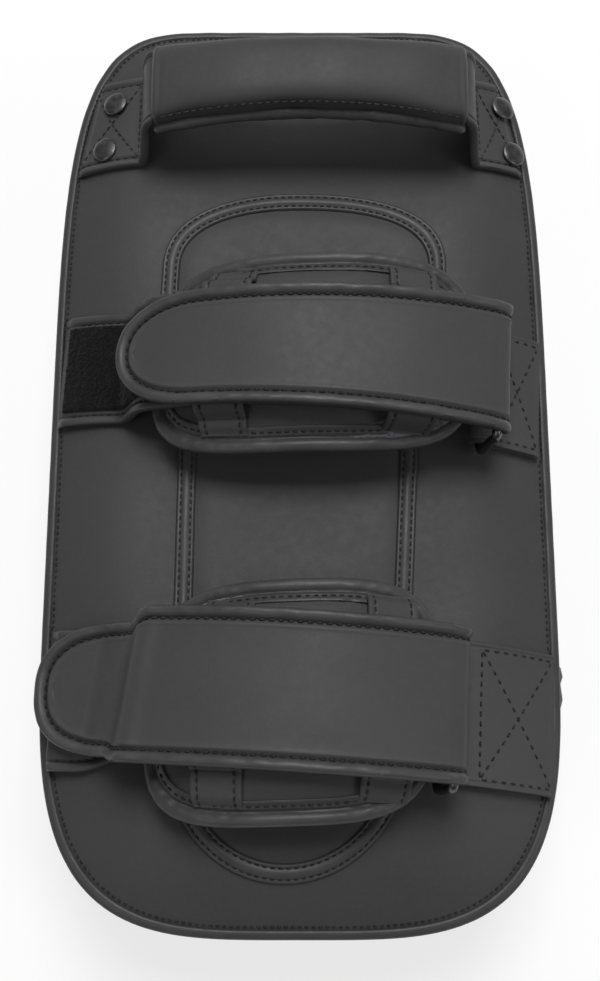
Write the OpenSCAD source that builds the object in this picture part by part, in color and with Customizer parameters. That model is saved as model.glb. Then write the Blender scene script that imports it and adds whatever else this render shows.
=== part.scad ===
// Thai pad: a foam-filled kick pad with a riveted grip handle and two forearm straps.
// It lies on its strike face. Origin: on the strike face under the middle of the pad.
// +X runs across the pad, +Y towards the handle, +Z out of the back. Sizes are millimetres.

/* [Pad] */
// Width over the bulged side walls
pad_w = 207; // [196:1:226]
// Length from end to end
pad_l = 390; // [375:1:430]
// Thickness from the strike face to the back panel
pad_t = 100; // [80:1:120]
// Width of the long corners at the handle end
corner_top_w = 72; // [60:1:80]
// Length of the long corners at the handle end
corner_top_l = 195; // [170:1:195]
// Squareness of the corners at the handle end, where 2 is an ellipse
top_power = 4.1; // [3.4:0.1:4.4]
// Width of the long corners at the plain end
corner_low_w = 100; // [90:1:102]
// Length of the long corners at the plain end
corner_low_l = 126; // [115:1:135]
// Squareness of the corners at the plain end, where 2 is an ellipse
low_power = 3.6; // [3:0.1:4]
// Width of the margin where the back rolls down
roll_w = 40; // [32:1:44]
// Drop of the back at its edge
roll_drop = 14; // [8:1:16]
// Thickness of the cover sheets
skin_t = 2; // [1.4:0.1:2.6]
// How far the side wall swells past its seams
bulge = 2; // [0.5:0.1:3]
// Radius of the bound edges
edge_r = 2.6; // [2:0.1:3.2]
// Height of the rounded edge round the strike face
front_rise = 6.5; // [5:0.5:10]
// Width of the rounded edge round the strike face
front_round = 9; // [6:0.5:14]
// Distance of the wall's joining seams from the long corners at the plain end
wall_seam_gap = 12; // [2:1:20]
// Thickness of the impact foam behind the strike face
impact_foam_t = 32; // [20:1:40]
// Thickness of the soft middle foam
core_foam_t = 36; // [20:1:40]

/* [Centre panel] */
// Width of the panel's upper lobe
key_top_w = 119; // [100:1:124]
// Width of the panel's channel below its neck
key_low_w = 97; // [80:1:100]
// Width of the panel's rounded foot
key_foot_w = 91; // [76:1:96]
// Slant of the panel across the back, in degrees
key_slant = 1.8; // [0:0.2:2]
// Distance of the panel's top from the handle end
key_from_top = 87; // [80:1:95]
// Distance of the panel's foot from the plain end
key_from_low = 21; // [16:1:40]
// Height of the panel's arched top
key_arch = 34; // [25:1:40]
// Drop from the arched top to the start of the panel's neck
key_neck_drop = 10; // [5:1:15]
// Length of the panel's neck
key_neck_l = 70; // [50:1:80]
// Width of the sewn tape round the panel
tape_w = 7; // [5:0.5:9]
// Height of the sewn tape
tape_t = 2; // [1.5:0.1:3]

/* [Handle] */
// Distance of the handle from the handle end
handle_from_top = 52; // [50:1:62]
// Sideways offset of the handle
handle_x = 4; // [0:1:5]
// Width of the handle strap at its sewn tabs
tab_w = 44; // [36:1:46]
// Thickness of the handle strap
handle_strap_t = 3; // [2.5:0.1:3.6]
// Width of the handle strap inside the grip
grip_strap_w = 20; // [18:1:22]
// Length of each sewn tab, from the side of the pad to the strap's rise
tab_l = 32; // [30:1:36]
// Width of the padded grip at its ends
grip_w = 34; // [32:1:38]
// Thickness of the padded grip
grip_t = 19; // [17:1:23]
// Height of the grip's middle above the back
grip_rise = 38; // [32:1:44]
// Drop of the grip's ends below its middle
grip_sag = 10; // [4:1:12]
// Run of the strap's rise beside the grip
rise_run = 7; // [6:0.5:9]
// Distance of the rivets from the strap's middle line, towards the plain end
rivet_drop = 2.5; // [0:0.5:6]
// Distance between the two rivets of a tab
rivet_pitch = 22; // [16:1:24]
// Distance of the rivets from the edge of the pad
rivet_from_edge = 13.5; // [12:0.5:15]
// Diameter of the rivet caps
rivet_cap_d = 11; // [8:0.5:12]
// Diameter of the rivet posts
rivet_post_d = 4; // [3:0.5:5]

/* [Straps] */
// Slant of both straps across the pad, in degrees
strap_tilt = -3.2; // [-4:0.2:0]
// Thickness of the fixed strap
strap_t = 3; // [2.5:0.1:3.5]
// Width of the fixed strap
strap_w = 48; // [40:1:50]
// Width of the bound edges of the straps
bind_w = 4; // [3:0.5:5]
// How much the bound edges stand proud
bind_proud = 0.8; // [0.4:0.1:1]
// Thickness of the loose strap end
flap_t = 3.5; // [3:0.1:4]
// Thickness of the loop fastener
pile_t = 1.8; // [1.2:0.1:2]
// Width of the hook and loop fasteners
fastener_w = 37; // [30:1:38]
// How far each side of the anchor straps lies inside the loose ends
anchor_inset = 1.5; // [0:0.5:3]
// Thickness of one layer of the anchor strap
anchor_t = 2.2; // [1.8:0.1:2.6]
// Wire diameter of the rings
wire_d = 3.8; // [3.4:0.1:4.2]
// Lean of the rings: how far the lower bar lies inside the upper one
ring_lean = 4; // [3:0.5:5]
// Corner radius of the ring's wire
ring_corner = 2.6; // [2.5:0.1:3.5]
// Thickness of the strap where it wraps the ring
fold_t = 2.6; // [2:0.1:3]

/* [Upper strap] */
// Distance of the upper strap from the handle end
upper_from_top = 170; // [168:1:180]
// Sideways place of the upper arch
upper_arch_x = 9; // [6:1:10]
// Inner radius of the upper arch
upper_arch_r = 130; // [126:1:134]
// Height of the upper arm gap
upper_gap = 26; // [25:0.5:27]
// Angle of the upper ring from the top of the arch
upper_ring_deg = 28; // [27:0.5:29]
// Width of the upper loose end at its ring
upper_flap_w = 53; // [48:1:54]
// Width of the upper loose end where its tip begins
upper_tip_w = 47; // [44:1:50]
// Reach of the upper loose end from the arch's middle
upper_reach = 80; // [72:1:82]

/* [Lower strap] */
// Distance of the lower strap from the plain end
lower_from_low = 88; // [82:1:90]
// Sideways place of the lower arch
lower_arch_x = 2; // [0:1:4]
// Inner radius of the lower arch
lower_arch_r = 105; // [102:1:108]
// Height of the lower arm gap
lower_gap = 23; // [22:0.5:24]
// Angle of the lower ring from the top of the arch
lower_ring_deg = 27; // [26:0.5:28]
// Width of the lower loose end
lower_flap_w = 58; // [54:1:62]
// Width of the lower loose end's tongue
tongue_w = 49; // [44:1:52]
// Reach of the lower loose end from the arch's middle
lower_reach = 103; // [98:1:104]

/* [Cuffs] */
// Distance of the upper cuff's end from the ring, along the arch
upper_cuff_gap = 9.3; // [7:0.1:12]
// Distance of the lower cuff's end from the ring, along the arch
lower_cuff_gap = 4.1; // [3:0.1:6]
// Width of the upper cuff
upper_cuff_w = 71; // [68:1:76]
// Width of the lower cuff
lower_cuff_w = 79; // [76:1:84]
// Thickness of the cuff at its middle
cuff_t = 11.5; // [10:0.5:13]
// Thickness of the cuff at its edge
cuff_edge_t = 6; // [5:0.5:7]
// Thickness of the cuff's cover and lining
cuff_skin_t = 1.5; // [1:0.1:2]
// Radius of the cuff's bound edge
cuff_edge_r = 2.8; // [2.2:0.1:3]
// Distance of the upper cuff's left keeper band from the top of the arch
upper_keeper_left = 38; // [34:1:40]
// Distance of the upper cuff's right keeper band from the top of the arch
upper_keeper_right = 35; // [28:1:36]
// Distance of the lower cuff's left keeper band from the top of the arch
lower_keeper_left = 31; // [28:1:34]
// Distance of the lower cuff's right keeper band from the top of the arch
lower_keeper_right = 32; // [28:1:34]
// Width of each keeper band
keeper_w = 19; // [14:1:22]
// Thickness of the keeper bands
keeper_t = 1.5; // [1:0.1:1.6]

/* [Hidden] */
$fn = 48;
// Gap between sewn layers on the curved back
lift = 0.35;
// Gap between stuffing and cover
fit = 0.2;
// Gap between pieces that slide on each other
slip = 0.35;
// Radial gap round the ring wire
wire_gap = 0.1;
// Clearance of the strap ends from the bound edge of the pad
edge_clear = 8;
// Half turn and quarter turn stations of a corner
corner_n = 11;
// Gap between the fasteners and the first keeper band
fastener_gap = 7;
// Gap between the legs of a ring and the straps round its bars
ring_gap = 0.8;
// Shift of the rings along the pad, towards the plain end
ring_shift = 2.5;
// Distance of the anchor's full width from the ring's upper bar
anchor_gap = 4;
// Squareness of the cuff's outline
cuff_power = 3.6;
// Arc step of the straps, in degrees
arc_step = 2.5;
// Height that clears everything on the back
tall = 3 * pad_t;

rim_in = 2 * edge_r + fit;
back_rim_z = pad_t - roll_drop * pow(1 - rim_in / roll_w, 2);
back_bead_z = back_rim_z - edge_r + 0.4;
wall_z0 = front_rise + edge_r + fit;
wall_z1 = back_bead_z - edge_r - fit;
foam_split_1 = skin_t + impact_foam_t;
foam_split_2 = foam_split_1 + core_foam_t;
wall_seam_y = -pad_l / 2 + corner_low_l + wall_seam_gap;
handle_y = pad_l / 2 - handle_from_top;
tab_end = pad_w / 2 - tab_l;
grip_l = 2 * (tab_end - rise_run);
wire_r = wire_d / 2;
bore_r = wire_r + wire_gap;
fold_r = bore_r + fold_t;
loop_r = bore_r + anchor_t;
// Radial build of an arch, counted from its inner radius
base_at = cuff_t + slip;
base_top = base_at + strap_t;
bar_at = base_top + bore_r;
flap_at = bar_at + bore_r;
keeper_at = base_top + bind_proud + slip;
hook_t = flap_at - base_top - pile_t - slip;

// The strap's own numbers, chosen by which = 0 for the upper and 1 for the lower strap
function pick(which, upper, lower) = which == 0 ? upper : lower;
function strap_y(which) = pick(which, pad_l / 2 - upper_from_top, -pad_l / 2 + lower_from_low);
function arch_x(which) = pick(which, upper_arch_x, lower_arch_x);
function arch_r(which) = pick(which, upper_arch_r, lower_arch_r);
function arch_z(which) = pad_t + pick(which, upper_gap, lower_gap) - arch_r(which);
function ring_deg(which) = pick(which, upper_ring_deg, lower_ring_deg);
function flap_w(which) = pick(which, upper_flap_w, lower_flap_w);
function reach(which) = pick(which, upper_reach, lower_reach);
// Half length of a cuff, which ends short of the ring
function cuff_l(which) = (arch_r(which) + cuff_t / 2) * ring_deg(which) * PI / 180 - cuff_shift
    - pick(which, upper_cuff_gap, lower_cuff_gap);
function cuff_w(which) = pick(which, upper_cuff_w, lower_cuff_w);
function fold_w(which) = flap_w(which) - 2 * bind_w;
function ring_w(which) = fold_w(which) + 2 * (wire_r + ring_gap);
function anchor_w(which) = flap_w(which) - 2 * anchor_inset;

// Small helpers
function mix(a, b, u) = a + (b - a) * u;
function smooth(u) = u * u * (3 - 2 * u);
function reversed(list) = [for (i = [len(list) - 1:-1:0]) list[i]];
function power_cos(a, p) = sign(cos(a)) * pow(abs(cos(a)), 2 / p);
function power_sin(a, p) = sign(sin(a)) * pow(abs(sin(a)), 2 / p);

// Width, length and squareness of the corners at one end
function corner_of(sy) = sy > 0
    ? [min(corner_top_w, pad_w / 2 - edge_r), corner_top_l, top_power]
    : [min(corner_low_w, pad_w / 2 - edge_r), corner_low_l, low_power];
// Depth of a point inside the pad's outline, measured on the family of inset outlines and found by halving
function edge_depth(x, y) =
    let (c = corner_of(y), qx = max(abs(x) - pad_w / 2 + c[0], 0), qy = max(abs(y) - pad_l / 2 + c[1], 0))
    halved(c, qx, qy, -edge_r, c[0] - 1, 14);
function halved(c, qx, qy, low, high, n) =
    let (d = (low + high) / 2, out = pow(qx / (c[0] - d), c[2]) + pow(qy / (c[1] - d), c[2]) > 1)
    n == 0 ? d : halved(c, qx, qy, out ? low : d, out ? d : high, n - 1);
function roll(depth) = roll_drop * pow(max(0, 1 - depth / roll_w), 2);
function back_z(x, y) = pad_t - roll(edge_depth(x, y));

// One corner of the outline, inset from the pad's widest outline
function corner(sx, sy, inset) =
    let (c = corner_of(sy))
    [for (k = [0:corner_n]) let (a = 90 * k / corner_n)
        [sx * (pad_w / 2 - c[0] + (c[0] - inset) * power_cos(a, c[2])),
         sy * (pad_l / 2 - c[1] + (c[1] - inset) * power_sin(a, c[2]))]];
function outline(inset) = concat(
    corner(1, 1, inset), reversed(corner(-1, 1, inset)),
    corner(-1, -1, inset), reversed(corner(1, -1, inset)));
function ring(inset, z) = [for (p = outline(inset)) [p[0], p[1], z]];

// Inset of the side wall's outer face at a height
function wall_in(z) = bulge * (1 - sin(180 * (z - wall_z0) / (wall_z1 - wall_z0)));

// Closed skin through equal rings of points, with both end rings capped
module loft(rings) {
    n = len(rings[0]);
    m = len(rings);
    points = [for (r = rings) each r];
    sides = [for (i = [0:m - 2], j = [0:n - 1]) let (k = (j + 1) % n)
        each [[i * n + j, i * n + k, (i + 1) * n + k], [i * n + j, (i + 1) * n + k, (i + 1) * n + j]]];
    caps = [[for (j = [n - 1:-1:0]) j], [for (j = [0:n - 1]) (m - 1) * n + j]];
    polyhedron(points, concat(sides, caps), convexity = 8);
}

// Closed skin through slices of a sheet, each its lower row followed by its upper row backwards
module sheet(slices) {
    n = len(slices[0]);
    m = len(slices);
    points = [for (r = slices) each r];
    sides = [for (i = [0:m - 2], j = [0:n - 1]) let (k = (j + 1) % n)
        each [[i * n + j, i * n + k, (i + 1) * n + k], [i * n + j, (i + 1) * n + k, (i + 1) * n + j]]];
    last = (m - 1) * n;
    caps = [for (j = [0:n / 2 - 2]) each [
        [j, n - 2 - j, j + 1], [j, n - 1 - j, n - 2 - j],
        [last + j, last + j + 1, last + n - 2 - j], [last + j, last + n - 2 - j, last + n - 1 - j]]];
    polyhedron(points, concat(sides, caps), convexity = 8);
}

// Closed skin through equal rings of points whose last ring joins the first
module hoop(rings) {
    n = len(rings[0]);
    m = len(rings);
    points = [for (r = rings) each r];
    sides = [for (i = [0:m - 1], j = [0:n - 1]) let (k = (j + 1) % n, h = (i + 1) % m)
        each [[i * n + j, i * n + k, h * n + k], [i * n + j, h * n + k, h * n + j]]];
    polyhedron(points, sides, convexity = 8);
}

// Round bead carried along the inset outline of the pad
module edge_bead(z) {
    hoop([for (a = [0:45:315]) ring(edge_r + edge_r * cos(a), z - edge_r * sin(a))]);
}

// Pad cover and stuffing

// Quarter ellipse of the strike face's edge, held in from its outer face by a thickness
function front_edge(a, t) = ring(rim_in + t + (front_round - t) * (1 - cos(a)),
                                 t + (front_rise - t) * (1 - sin(a)));

module strike_cover() {
    color([0.11, 0.11, 0.11])
        loft(reversed(concat(
            [for (a = [90:-22.5:0]) front_edge(a, skin_t)],
            [for (a = [0:22.5:90]) front_edge(a, 0)])));
}

// Cross-section of the side wall at one place of the outline, as [inset, height] pairs
function wall_profile() = let (steps = [0:4]) concat(
    [for (k = steps) let (z = mix(wall_z0, wall_z1, k / 4)) [wall_in(z), z]],
    [for (k = steps) let (z = mix(wall_z1, wall_z0, k / 4)) [wall_in(z) + skin_t, z]]);

// Part of the side wall that runs round one end of the pad, from seam to seam
module side_wall(sy) {
    path = function (inset) concat(
        [[sy * (pad_w / 2 - inset), wall_seam_y]],
        sy > 0 ? corner(1, 1, inset) : corner(-1, -1, inset),
        sy > 0 ? reversed(corner(-1, 1, inset)) : reversed(corner(1, -1, inset)),
        [[-sy * (pad_w / 2 - inset), wall_seam_y]]);
    profile = wall_profile();
    walls = [for (p = profile) [for (q = path(p[0])) [q[0], q[1], p[1]]]];
    loft([for (j = [0:len(walls[0]) - 1]) [for (w = walls) w[j]]]);
}

module upper_side_wall() { color([0.13, 0.13, 0.13]) side_wall(1); }
module lower_side_wall() { color([0.13, 0.13, 0.13]) side_wall(-1); }

// Insets at which the rolled back is drawn
function back_insets() = [for (u = [0, 0.1, 0.25, 0.42, 0.62, 1]) mix(rim_in, roll_w, u)];

module back_panel() {
    color([0.12, 0.12, 0.12])
        difference() {
            loft(concat(
                [for (i = reversed(back_insets())) ring(i, pad_t - roll(i) - skin_t)],
                [for (i = back_insets()) ring(i, pad_t - roll(i))]));
            rivet_holes();
        }
}

module back_edge_binding() { color([0.10, 0.10, 0.10]) edge_bead(back_bead_z); }
module front_edge_binding() { color([0.10, 0.10, 0.10]) edge_bead(front_rise); }

function stuffing(z) = ring(wall_in(z) + skin_t + fit, z);

module impact_foam() {
    color([0.25, 0.25, 0.27])
        loft(concat(
            [for (a = [90:-30:0]) front_edge(a, skin_t + fit)],
            [for (z = [wall_z0 + 3, mix(wall_z0, foam_split_1, 0.5), foam_split_1]) stuffing(z)]));
}

module core_foam() {
    color([0.85, 0.80, 0.62])
        loft([for (k = [0:2]) stuffing(mix(foam_split_1, foam_split_2, k / 2))]);
}

module base_foam() {
    top_insets = [for (u = [0, 0.22, 0.52, 1]) mix(rim_in + fit + skin_t / 2, roll_w, u)];
    color([0.25, 0.25, 0.27])
        difference() {
            loft(concat(
                [for (z = [foam_split_2, wall_z1 - 4]) stuffing(z)],
                [for (i = top_insets) ring(i, pad_t - roll(i) - skin_t - fit)]));
            rivet_pockets();
        }
}

// Keyhole-shaped centre panel

key_top_y = pad_l / 2 - key_from_top;
key_low_y = -pad_l / 2 + key_from_low;
key_arch_y = key_top_y - key_arch;
key_low_centre = key_low_y + key_foot_w / 2;
key_pivot = key_arch_y - key_neck_l * 0.8;
key_neck_top = key_arch_y - key_neck_drop;
key_neck_low = key_neck_top - key_neck_l;

function key_half(inset) =
    let (wt = key_top_w / 2 - inset, wl = key_low_w / 2 - inset, wf = key_foot_w / 2 - inset)
    concat(
        [for (a = [90:-15:0]) [wt * power_cos(a, 2.4), key_arch_y + (key_arch - inset) * power_sin(a, 2.4)]],
        [for (k = [0:4]) [mix(wt, wl, smooth(k / 4)), mix(key_neck_top, key_neck_low, k / 4)]],
        [for (a = [0:-15:-90]) [wf * cos(a), key_low_centre + wf * sin(a)]]);
function key_outline(inset) = let (h = key_half(inset), n = len(h)) concat(
    reversed(h), [for (i = [1:n - 2]) [-h[i][0], h[i][1]]]);
// Outline of the panel laid on the rolled back, at a height above it
function key_ring(inset, dz) = [for (p = key_outline(inset))
    let (x = p[0] + tan(key_slant) * (p[1] - key_pivot)) [x, p[1], back_z(x, p[1]) + dz]];

module centre_panel() {
    insets = [for (u = [0, 0.35, 1]) mix(tape_w + fit, key_foot_w / 4, u)];
    color([0.12, 0.12, 0.12])
        loft(concat(
            [for (i = reversed(insets)) key_ring(i, lift)],
            [for (i = insets) key_ring(i, lift + skin_t / 2)]));
}

module centre_panel_tape() {
    color([0.10, 0.10, 0.10])
        hoop(reversed([
            key_ring(0.3, lift), key_ring(0, lift + tape_t * 0.6), key_ring(tape_w / 2, lift + tape_t),
            key_ring(tape_w, lift + tape_t * 0.6), key_ring(tape_w - 0.3, lift)]));
}

// Handle

// Height of the handle strap's middle above the strike face along the grip
function grip_z(x) = pad_t + grip_rise - grip_sag * pow(2 * x / grip_l, 2);
// Side of the inset outline at a place along the handle end
function top_side(inset, y) =
    let (qy = max(y - pad_l / 2 + corner_top_l, 0) / (corner_top_l - inset))
    pad_w / 2 - corner_top_w + (corner_top_w - inset) * pow(1 - pow(qy, top_power), 1 / top_power);
// Lower face of the handle strap: on the back along the tab, then up to the grip and over it
function strap_point(side, u, v) =
    let (
        half = mix(tab_w, grip_strap_w, smooth(min(1, max(0, (u - 1) * 1.25)))) / 2,
        y = handle_y + v * half,
        foot = side * tab_end + handle_x,
        x = u <= 1 ? mix(side * top_side(edge_clear, y), foot, u)
          : u <= 2 ? mix(foot, foot - side * rise_run, pow(u - 1, 1.4))
          : mix(foot - side * rise_run, handle_x, u - 2),
        ground = back_z(x, y) + lift,
        top = grip_z(x - handle_x) - handle_strap_t / 2)
    [x, y, u <= 1 ? ground : u <= 2 ? mix(ground, top, smooth(u - 1)) : top];

module handle_strap() {
    across = [-1, -0.5, 0, 0.5, 1];
    left = [0, 0.25, 0.5, 0.75, 1, 1.15, 1.3, 1.45, 1.6, 1.8, 2, 2.35, 2.7];
    rows = concat(
        [for (u = left) [for (v = across) strap_point(-1, u, v)]],
        [[for (v = across) strap_point(-1, 3, v)]],
        [for (u = reversed(left)) [for (v = across) strap_point(1, u, v)]]);
    up = [0, 0, handle_strap_t];
    // The rising stretches are steep, so the strap is thickened sideways there
    side = function (i) let (n = len(rows), a = rows[max(0, i - 1)][2], b = rows[min(n - 1, i + 1)][2],
        d = [b[0] - a[0], 0, b[2] - a[2]]) handle_strap_t * [-d[2], 0, d[0]] / norm(d);
    color([0.12, 0.12, 0.12])
        difference() {
            sheet([for (i = [0:len(rows) - 1]) concat(
                rows[i], reversed([for (p = rows[i]) p + (i < 4 || i > len(rows) - 5 ? up : side(i))]))]);
            rivet_holes();
        }
}

// Superellipse ring across the handle at a place along it
function grip_ring(x, half_w, half_t, p) = [for (a = [0:22.5:337.5])
    [x + handle_x, handle_y + half_w * power_cos(a, p), grip_z(x) + half_t * power_sin(a, p)]];
// Slight taper of the stuffed grip towards its ends
function grip_full(u) = 1 - 0.08 * pow(abs(u), 6);
// Slimmer middle of the grip
function grip_wide(u) = mix(0.88, 1, u * u);
grip_stations = [-1, -0.94, -0.8, -0.55, -0.25, 0.25, 0.55, 0.8, 0.94, 1];

module grip_sleeve(outer_off, inner_w, inner_t, inner_p) {
    outer = [for (u = grip_stations) grip_ring(u * grip_l / 2,
        grip_w / 2 * grip_wide(u) - outer_off, grip_t / 2 * grip_full(u) - outer_off, 2.4)];
    inner = [for (u = reversed(grip_stations)) grip_ring(u * grip_l / 2,
        inner_w(u), inner_t(u), inner_p)];
    hoop(concat(outer, inner));
}

module grip_cover() {
    color([0.13, 0.13, 0.13])
        grip_sleeve(0, function (u) grip_w / 2 * grip_wide(u) - skin_t,
            function (u) grip_t / 2 * grip_full(u) - skin_t, 2.4);
}

module grip_foam() {
    color([0.25, 0.25, 0.27])
        grip_sleeve(skin_t + fit, function (u) grip_strap_w / 2 + 0.8, function (u) handle_strap_t / 2 + 0.8, 6);
}

// Frame at a rivet, with +Z square to the rolled back; one copy for each of the four rivets
module at_rivets() {
    for (side = [-1, 1], end = [-1, 1]) {
        y = handle_y - rivet_drop + end * rivet_pitch / 2;
        x = side * (top_side(0, y) - rivet_from_edge) + handle_x;
        z = back_z(x, y);
        sx = (back_z(x + 1, y) - back_z(x - 1, y)) / 2;
        sy = (back_z(x, y + 1) - back_z(x, y - 1)) / 2;
        translate([x, y, z]) rotate([atan(sy), -atan(sx), 0]) children();
    }
}

module rivet_holes() {
    at_rivets() translate([0, 0, -3 * skin_t]) cylinder(d = rivet_post_d + 2 * fit, h = 12 * skin_t);
}

module rivet_pockets() {
    at_rivets() translate([0, 0, -skin_t - 4]) cylinder(d = rivet_cap_d + 2 * fit, h = 12 * skin_t);
}

rivet_seat = handle_strap_t + lift + 0.6;

module handle_rivets() {
    cap_h = 2.2;
    color([0.08, 0.08, 0.08])
        at_rivets() {
            translate([0, 0, rivet_seat]) rotate_extrude() polygon(concat(
                [[0, 0], [rivet_cap_d / 2 - 0.4, 0]],
                [for (a = [0:15:90]) [rivet_cap_d / 2 * cos(a), 0.7 + (cap_h - 0.7) * sin(a)]]));
            translate([0, 0, -skin_t - 1.5]) cylinder(d = rivet_post_d, h = rivet_seat + skin_t + 1.6);
        }
}

module rivet_washers() {
    color([0.45, 0.45, 0.45])
        at_rivets() translate([0, 0, -skin_t - 1.5]) difference() {
            cylinder(d = rivet_cap_d - 4, h = 1);
            translate([0, 0, -1]) cylinder(d = rivet_post_d + 2 * fit, h = 3);
        }
}

// Straps: each is a profile in its own upright plane, carried across its width

module strap_frame(which) {
    translate([0, strap_y(which), 0]) rotate([0, 0, strap_tilt]) children();
}

// Highest point of the back under a strap at a distance along it
function ground(which, s, half_w) = max([for (t = [-half_w, 0, half_w])
    back_z(s * cos(strap_tilt) - t * sin(strap_tilt), strap_y(which) + s * sin(strap_tilt) + t * cos(strap_tilt))]);
function arc_point(which, at, deg) = [
    arch_x(which) + (arch_r(which) + at) * sin(deg), arch_z(which) + (arch_r(which) + at) * cos(deg)];
function bezier(a, b, c, d, u) =
    a * pow(1 - u, 3) + b * 3 * u * pow(1 - u, 2) + c * 3 * u * u * (1 - u) + d * pow(u, 3);
function arc_path(which, at, from, to) =
    let (n = ceil(abs(to - from) / arc_step)) [for (k = [0:n]) arc_point(which, at, mix(from, to, k / n))];

// Path moved square to itself by a distance
function moved(path, d) = let (n = len(path)) [for (i = [0:n - 1])
    let (t = path[min(n - 1, i + 1)] - path[max(0, i - 1)]) path[i] + d * [-t[1], t[0]] / norm(t)];
module ribbon(path, from, to, w) {
    rotate([90, 0, 0]) linear_extrude(w, center = true)
        polygon(concat(moved(path, from), reversed(moved(path, to))));
}

// Angle at which the fixed strap leaves the arch to come down to the pad
function leave_deg(which) = -asin((cuff_l(which) - cuff_shift + 1.5) / (arch_r(which) + base_at));
// Run of the fixed strap between the back and the arch, and the leads of its curve at both ends
foot_run = 15;
foot_lead = [9, 2];
arch_lead = 8;
function strap_left() = -pad_w / 2 + edge_clear;
function strap_path(which, right_deg) =
    let (
        top = arc_point(which, base_at, leave_deg(which)),
        foot_s = top[0] - foot_run,
        foot = [foot_s, ground(which, foot_s, strap_w / 2) + lift],
        slope = -leave_deg(which),
        n = ceil((foot_s - strap_left()) / 4))
    concat(
        [for (k = [0:n - 1]) let (s = mix(strap_left(), foot_s, k / n)) [s, ground(which, s, strap_w / 2) + lift]],
        [for (k = [0:7]) bezier(foot, foot + foot_lead, top - arch_lead * [cos(slope), sin(slope)], top, k / 8)],
        arc_path(which, base_at, leave_deg(which), right_deg));
// The fixed strap stops clear of the fold round the ring
function base_end_deg(which) = ring_deg(which) - (fold_r + 1.2) / (arch_r(which) + base_top) * 180 / PI;

module base_strap(which) {
    strap_frame(which) ribbon(strap_path(which, base_end_deg(which)), 0, strap_t, strap_w - 2 * bind_w);
}

module base_binding(which) {
    strap_frame(which) for (side = [-1, 1]) translate([0, side * (strap_w - bind_w) / 2, 0])
        ribbon(strap_path(which, base_end_deg(which)), 0, strap_t + bind_proud, bind_w);
}

// Angle of each keeper band on the arch, and the end of the fasteners beside the first one
function arc_deg(which, l) = l / (arch_r(which) + base_at) * 180 / PI;
function keeper_degs(which) = [
    arc_deg(which, -pick(which, upper_keeper_left, lower_keeper_left)),
    arc_deg(which, pick(which, upper_keeper_right, lower_keeper_right))];
function keeper_half(which) = arc_deg(which, keeper_w / 2);
function fastener_deg(which) = keeper_degs(which)[0] - keeper_half(which) - arc_deg(which, fastener_gap);

module pile_patch(which) {
    full = strap_path(which, fastener_deg(which));
    path = [for (i = [1:len(full) - 1]) full[i]];
    strap_frame(which) ribbon(path, strap_t, strap_t + pile_t, fastener_w);
}

// Loose strap end: over the arch, then straight on above, or down along the fixed strap below
straight_deg = -25;
straight_l = 30;
// Run and leads of the curve by which the lower loose end bridges the bend of its fixed strap
bridge_run = 9;
bridge_lead = [11, 2.6];
bridge_top = 10;
function flap_path(which) =
    let (at = flap_at - base_at, edge = strap_path(which, 0))
    which == 0
    ? let (a = arc_point(0, flap_at, straight_deg), d = [cos(straight_deg), -sin(straight_deg)])
        concat([for (k = [6:-1:1]) a - k * straight_l / 6 * d], arc_path(0, flap_at, straight_deg, ring_deg(0)))
    : let (
        low = moved(edge, at),
        d = (low[1] - low[0]) / norm(low[1] - low[0]),
        top = arc_point(1, flap_at, leave_deg(1)),
        foot_s = arc_point(1, base_at, leave_deg(1))[0] - foot_run - bridge_run,
        foot = [foot_s, ground(1, foot_s, strap_w / 2) + lift + 1.05 * at],
        slope = -leave_deg(1))
        concat([for (k = [3:-1:1]) low[0] - k * 4 * d],
            [for (p = low) if (p[0] < foot_s - 1) p],
            [for (k = [0:7]) bezier(foot, foot + bridge_lead, top - bridge_top * [cos(slope), sin(slope)], top, k / 8)],
            arc_path(1, flap_at, leave_deg(1), ring_deg(1)));

// Plan of the loose end: a rounded tip, and a step down to the tongue of the lower strap
tip_l = 37;
step_l = 16;
// Distance of that step from the end of the lower cuff
step_gap = 14;
function flap_plan(which, inset, right) =
    let (
        w = flap_w(which) / 2 - inset,
        tw = pick(which, upper_tip_w, tongue_w) / 2 - inset,
        tip = arch_x(which) - reach(which) + inset,
        step_s = arch_x(which) - cuff_l(which) - step_gap,
        long = pick(which, tip_l, min(tip_l, step_s - step_l / 2 - arch_x(which) + reach(which))) - inset,
        bar = bar_point(which)[0],
        ring_w = which == 1 ? w : mix(tw, w, (min(right, bar) - tip - long) / (bar - tip - long)),
        half = concat(
            [[right, ring_w]],
            which == 0 && right > bar ? [[bar, w]] : [],
            which == 1 ? [for (k = [0:6]) [step_s + step_l * (0.5 - k / 6), mix(w, tw, smooth(k / 6))]] : [],
            [for (a = [90:7.5:172.5]) [tip + long + long * power_cos(a, 2.3), tw * power_sin(a, 2.3)]]))
    concat(half, [[tip, 0]], [for (p = reversed(half)) [p[0], -p[1]]]);
module flap_plan_block(which, inset, right) {
    linear_extrude(tall) polygon(flap_plan(which, inset, right));
}

function bar_point(which) = arc_point(which, bar_at, ring_deg(which));
module along_bar_cylinder(p, r, w) {
    translate([p[0], -ring_shift, p[1]]) rotate([90, 0, 0]) cylinder(r = r, h = w, center = true);
}

module flap(which) {
    bar = bar_point(which);
    strap_frame(which) difference() {
        union() {
            intersection() {
                ribbon(flap_path(which), 0.2, flap_t, flap_w(which));
                flap_plan_block(which, bind_w, bar[0] + 2 * fold_r);
            }
            along_bar_cylinder(bar, fold_r, fold_w(which));
        }
        along_bar_cylinder(bar, bore_r, 2 * flap_w(which));
        // The sheet is cut back beside the ring's leg
        translate([bar[0] - fold_r - 1, fold_w(which) / 2 - ring_shift, 0]) cube(tall);
    }
}

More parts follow.
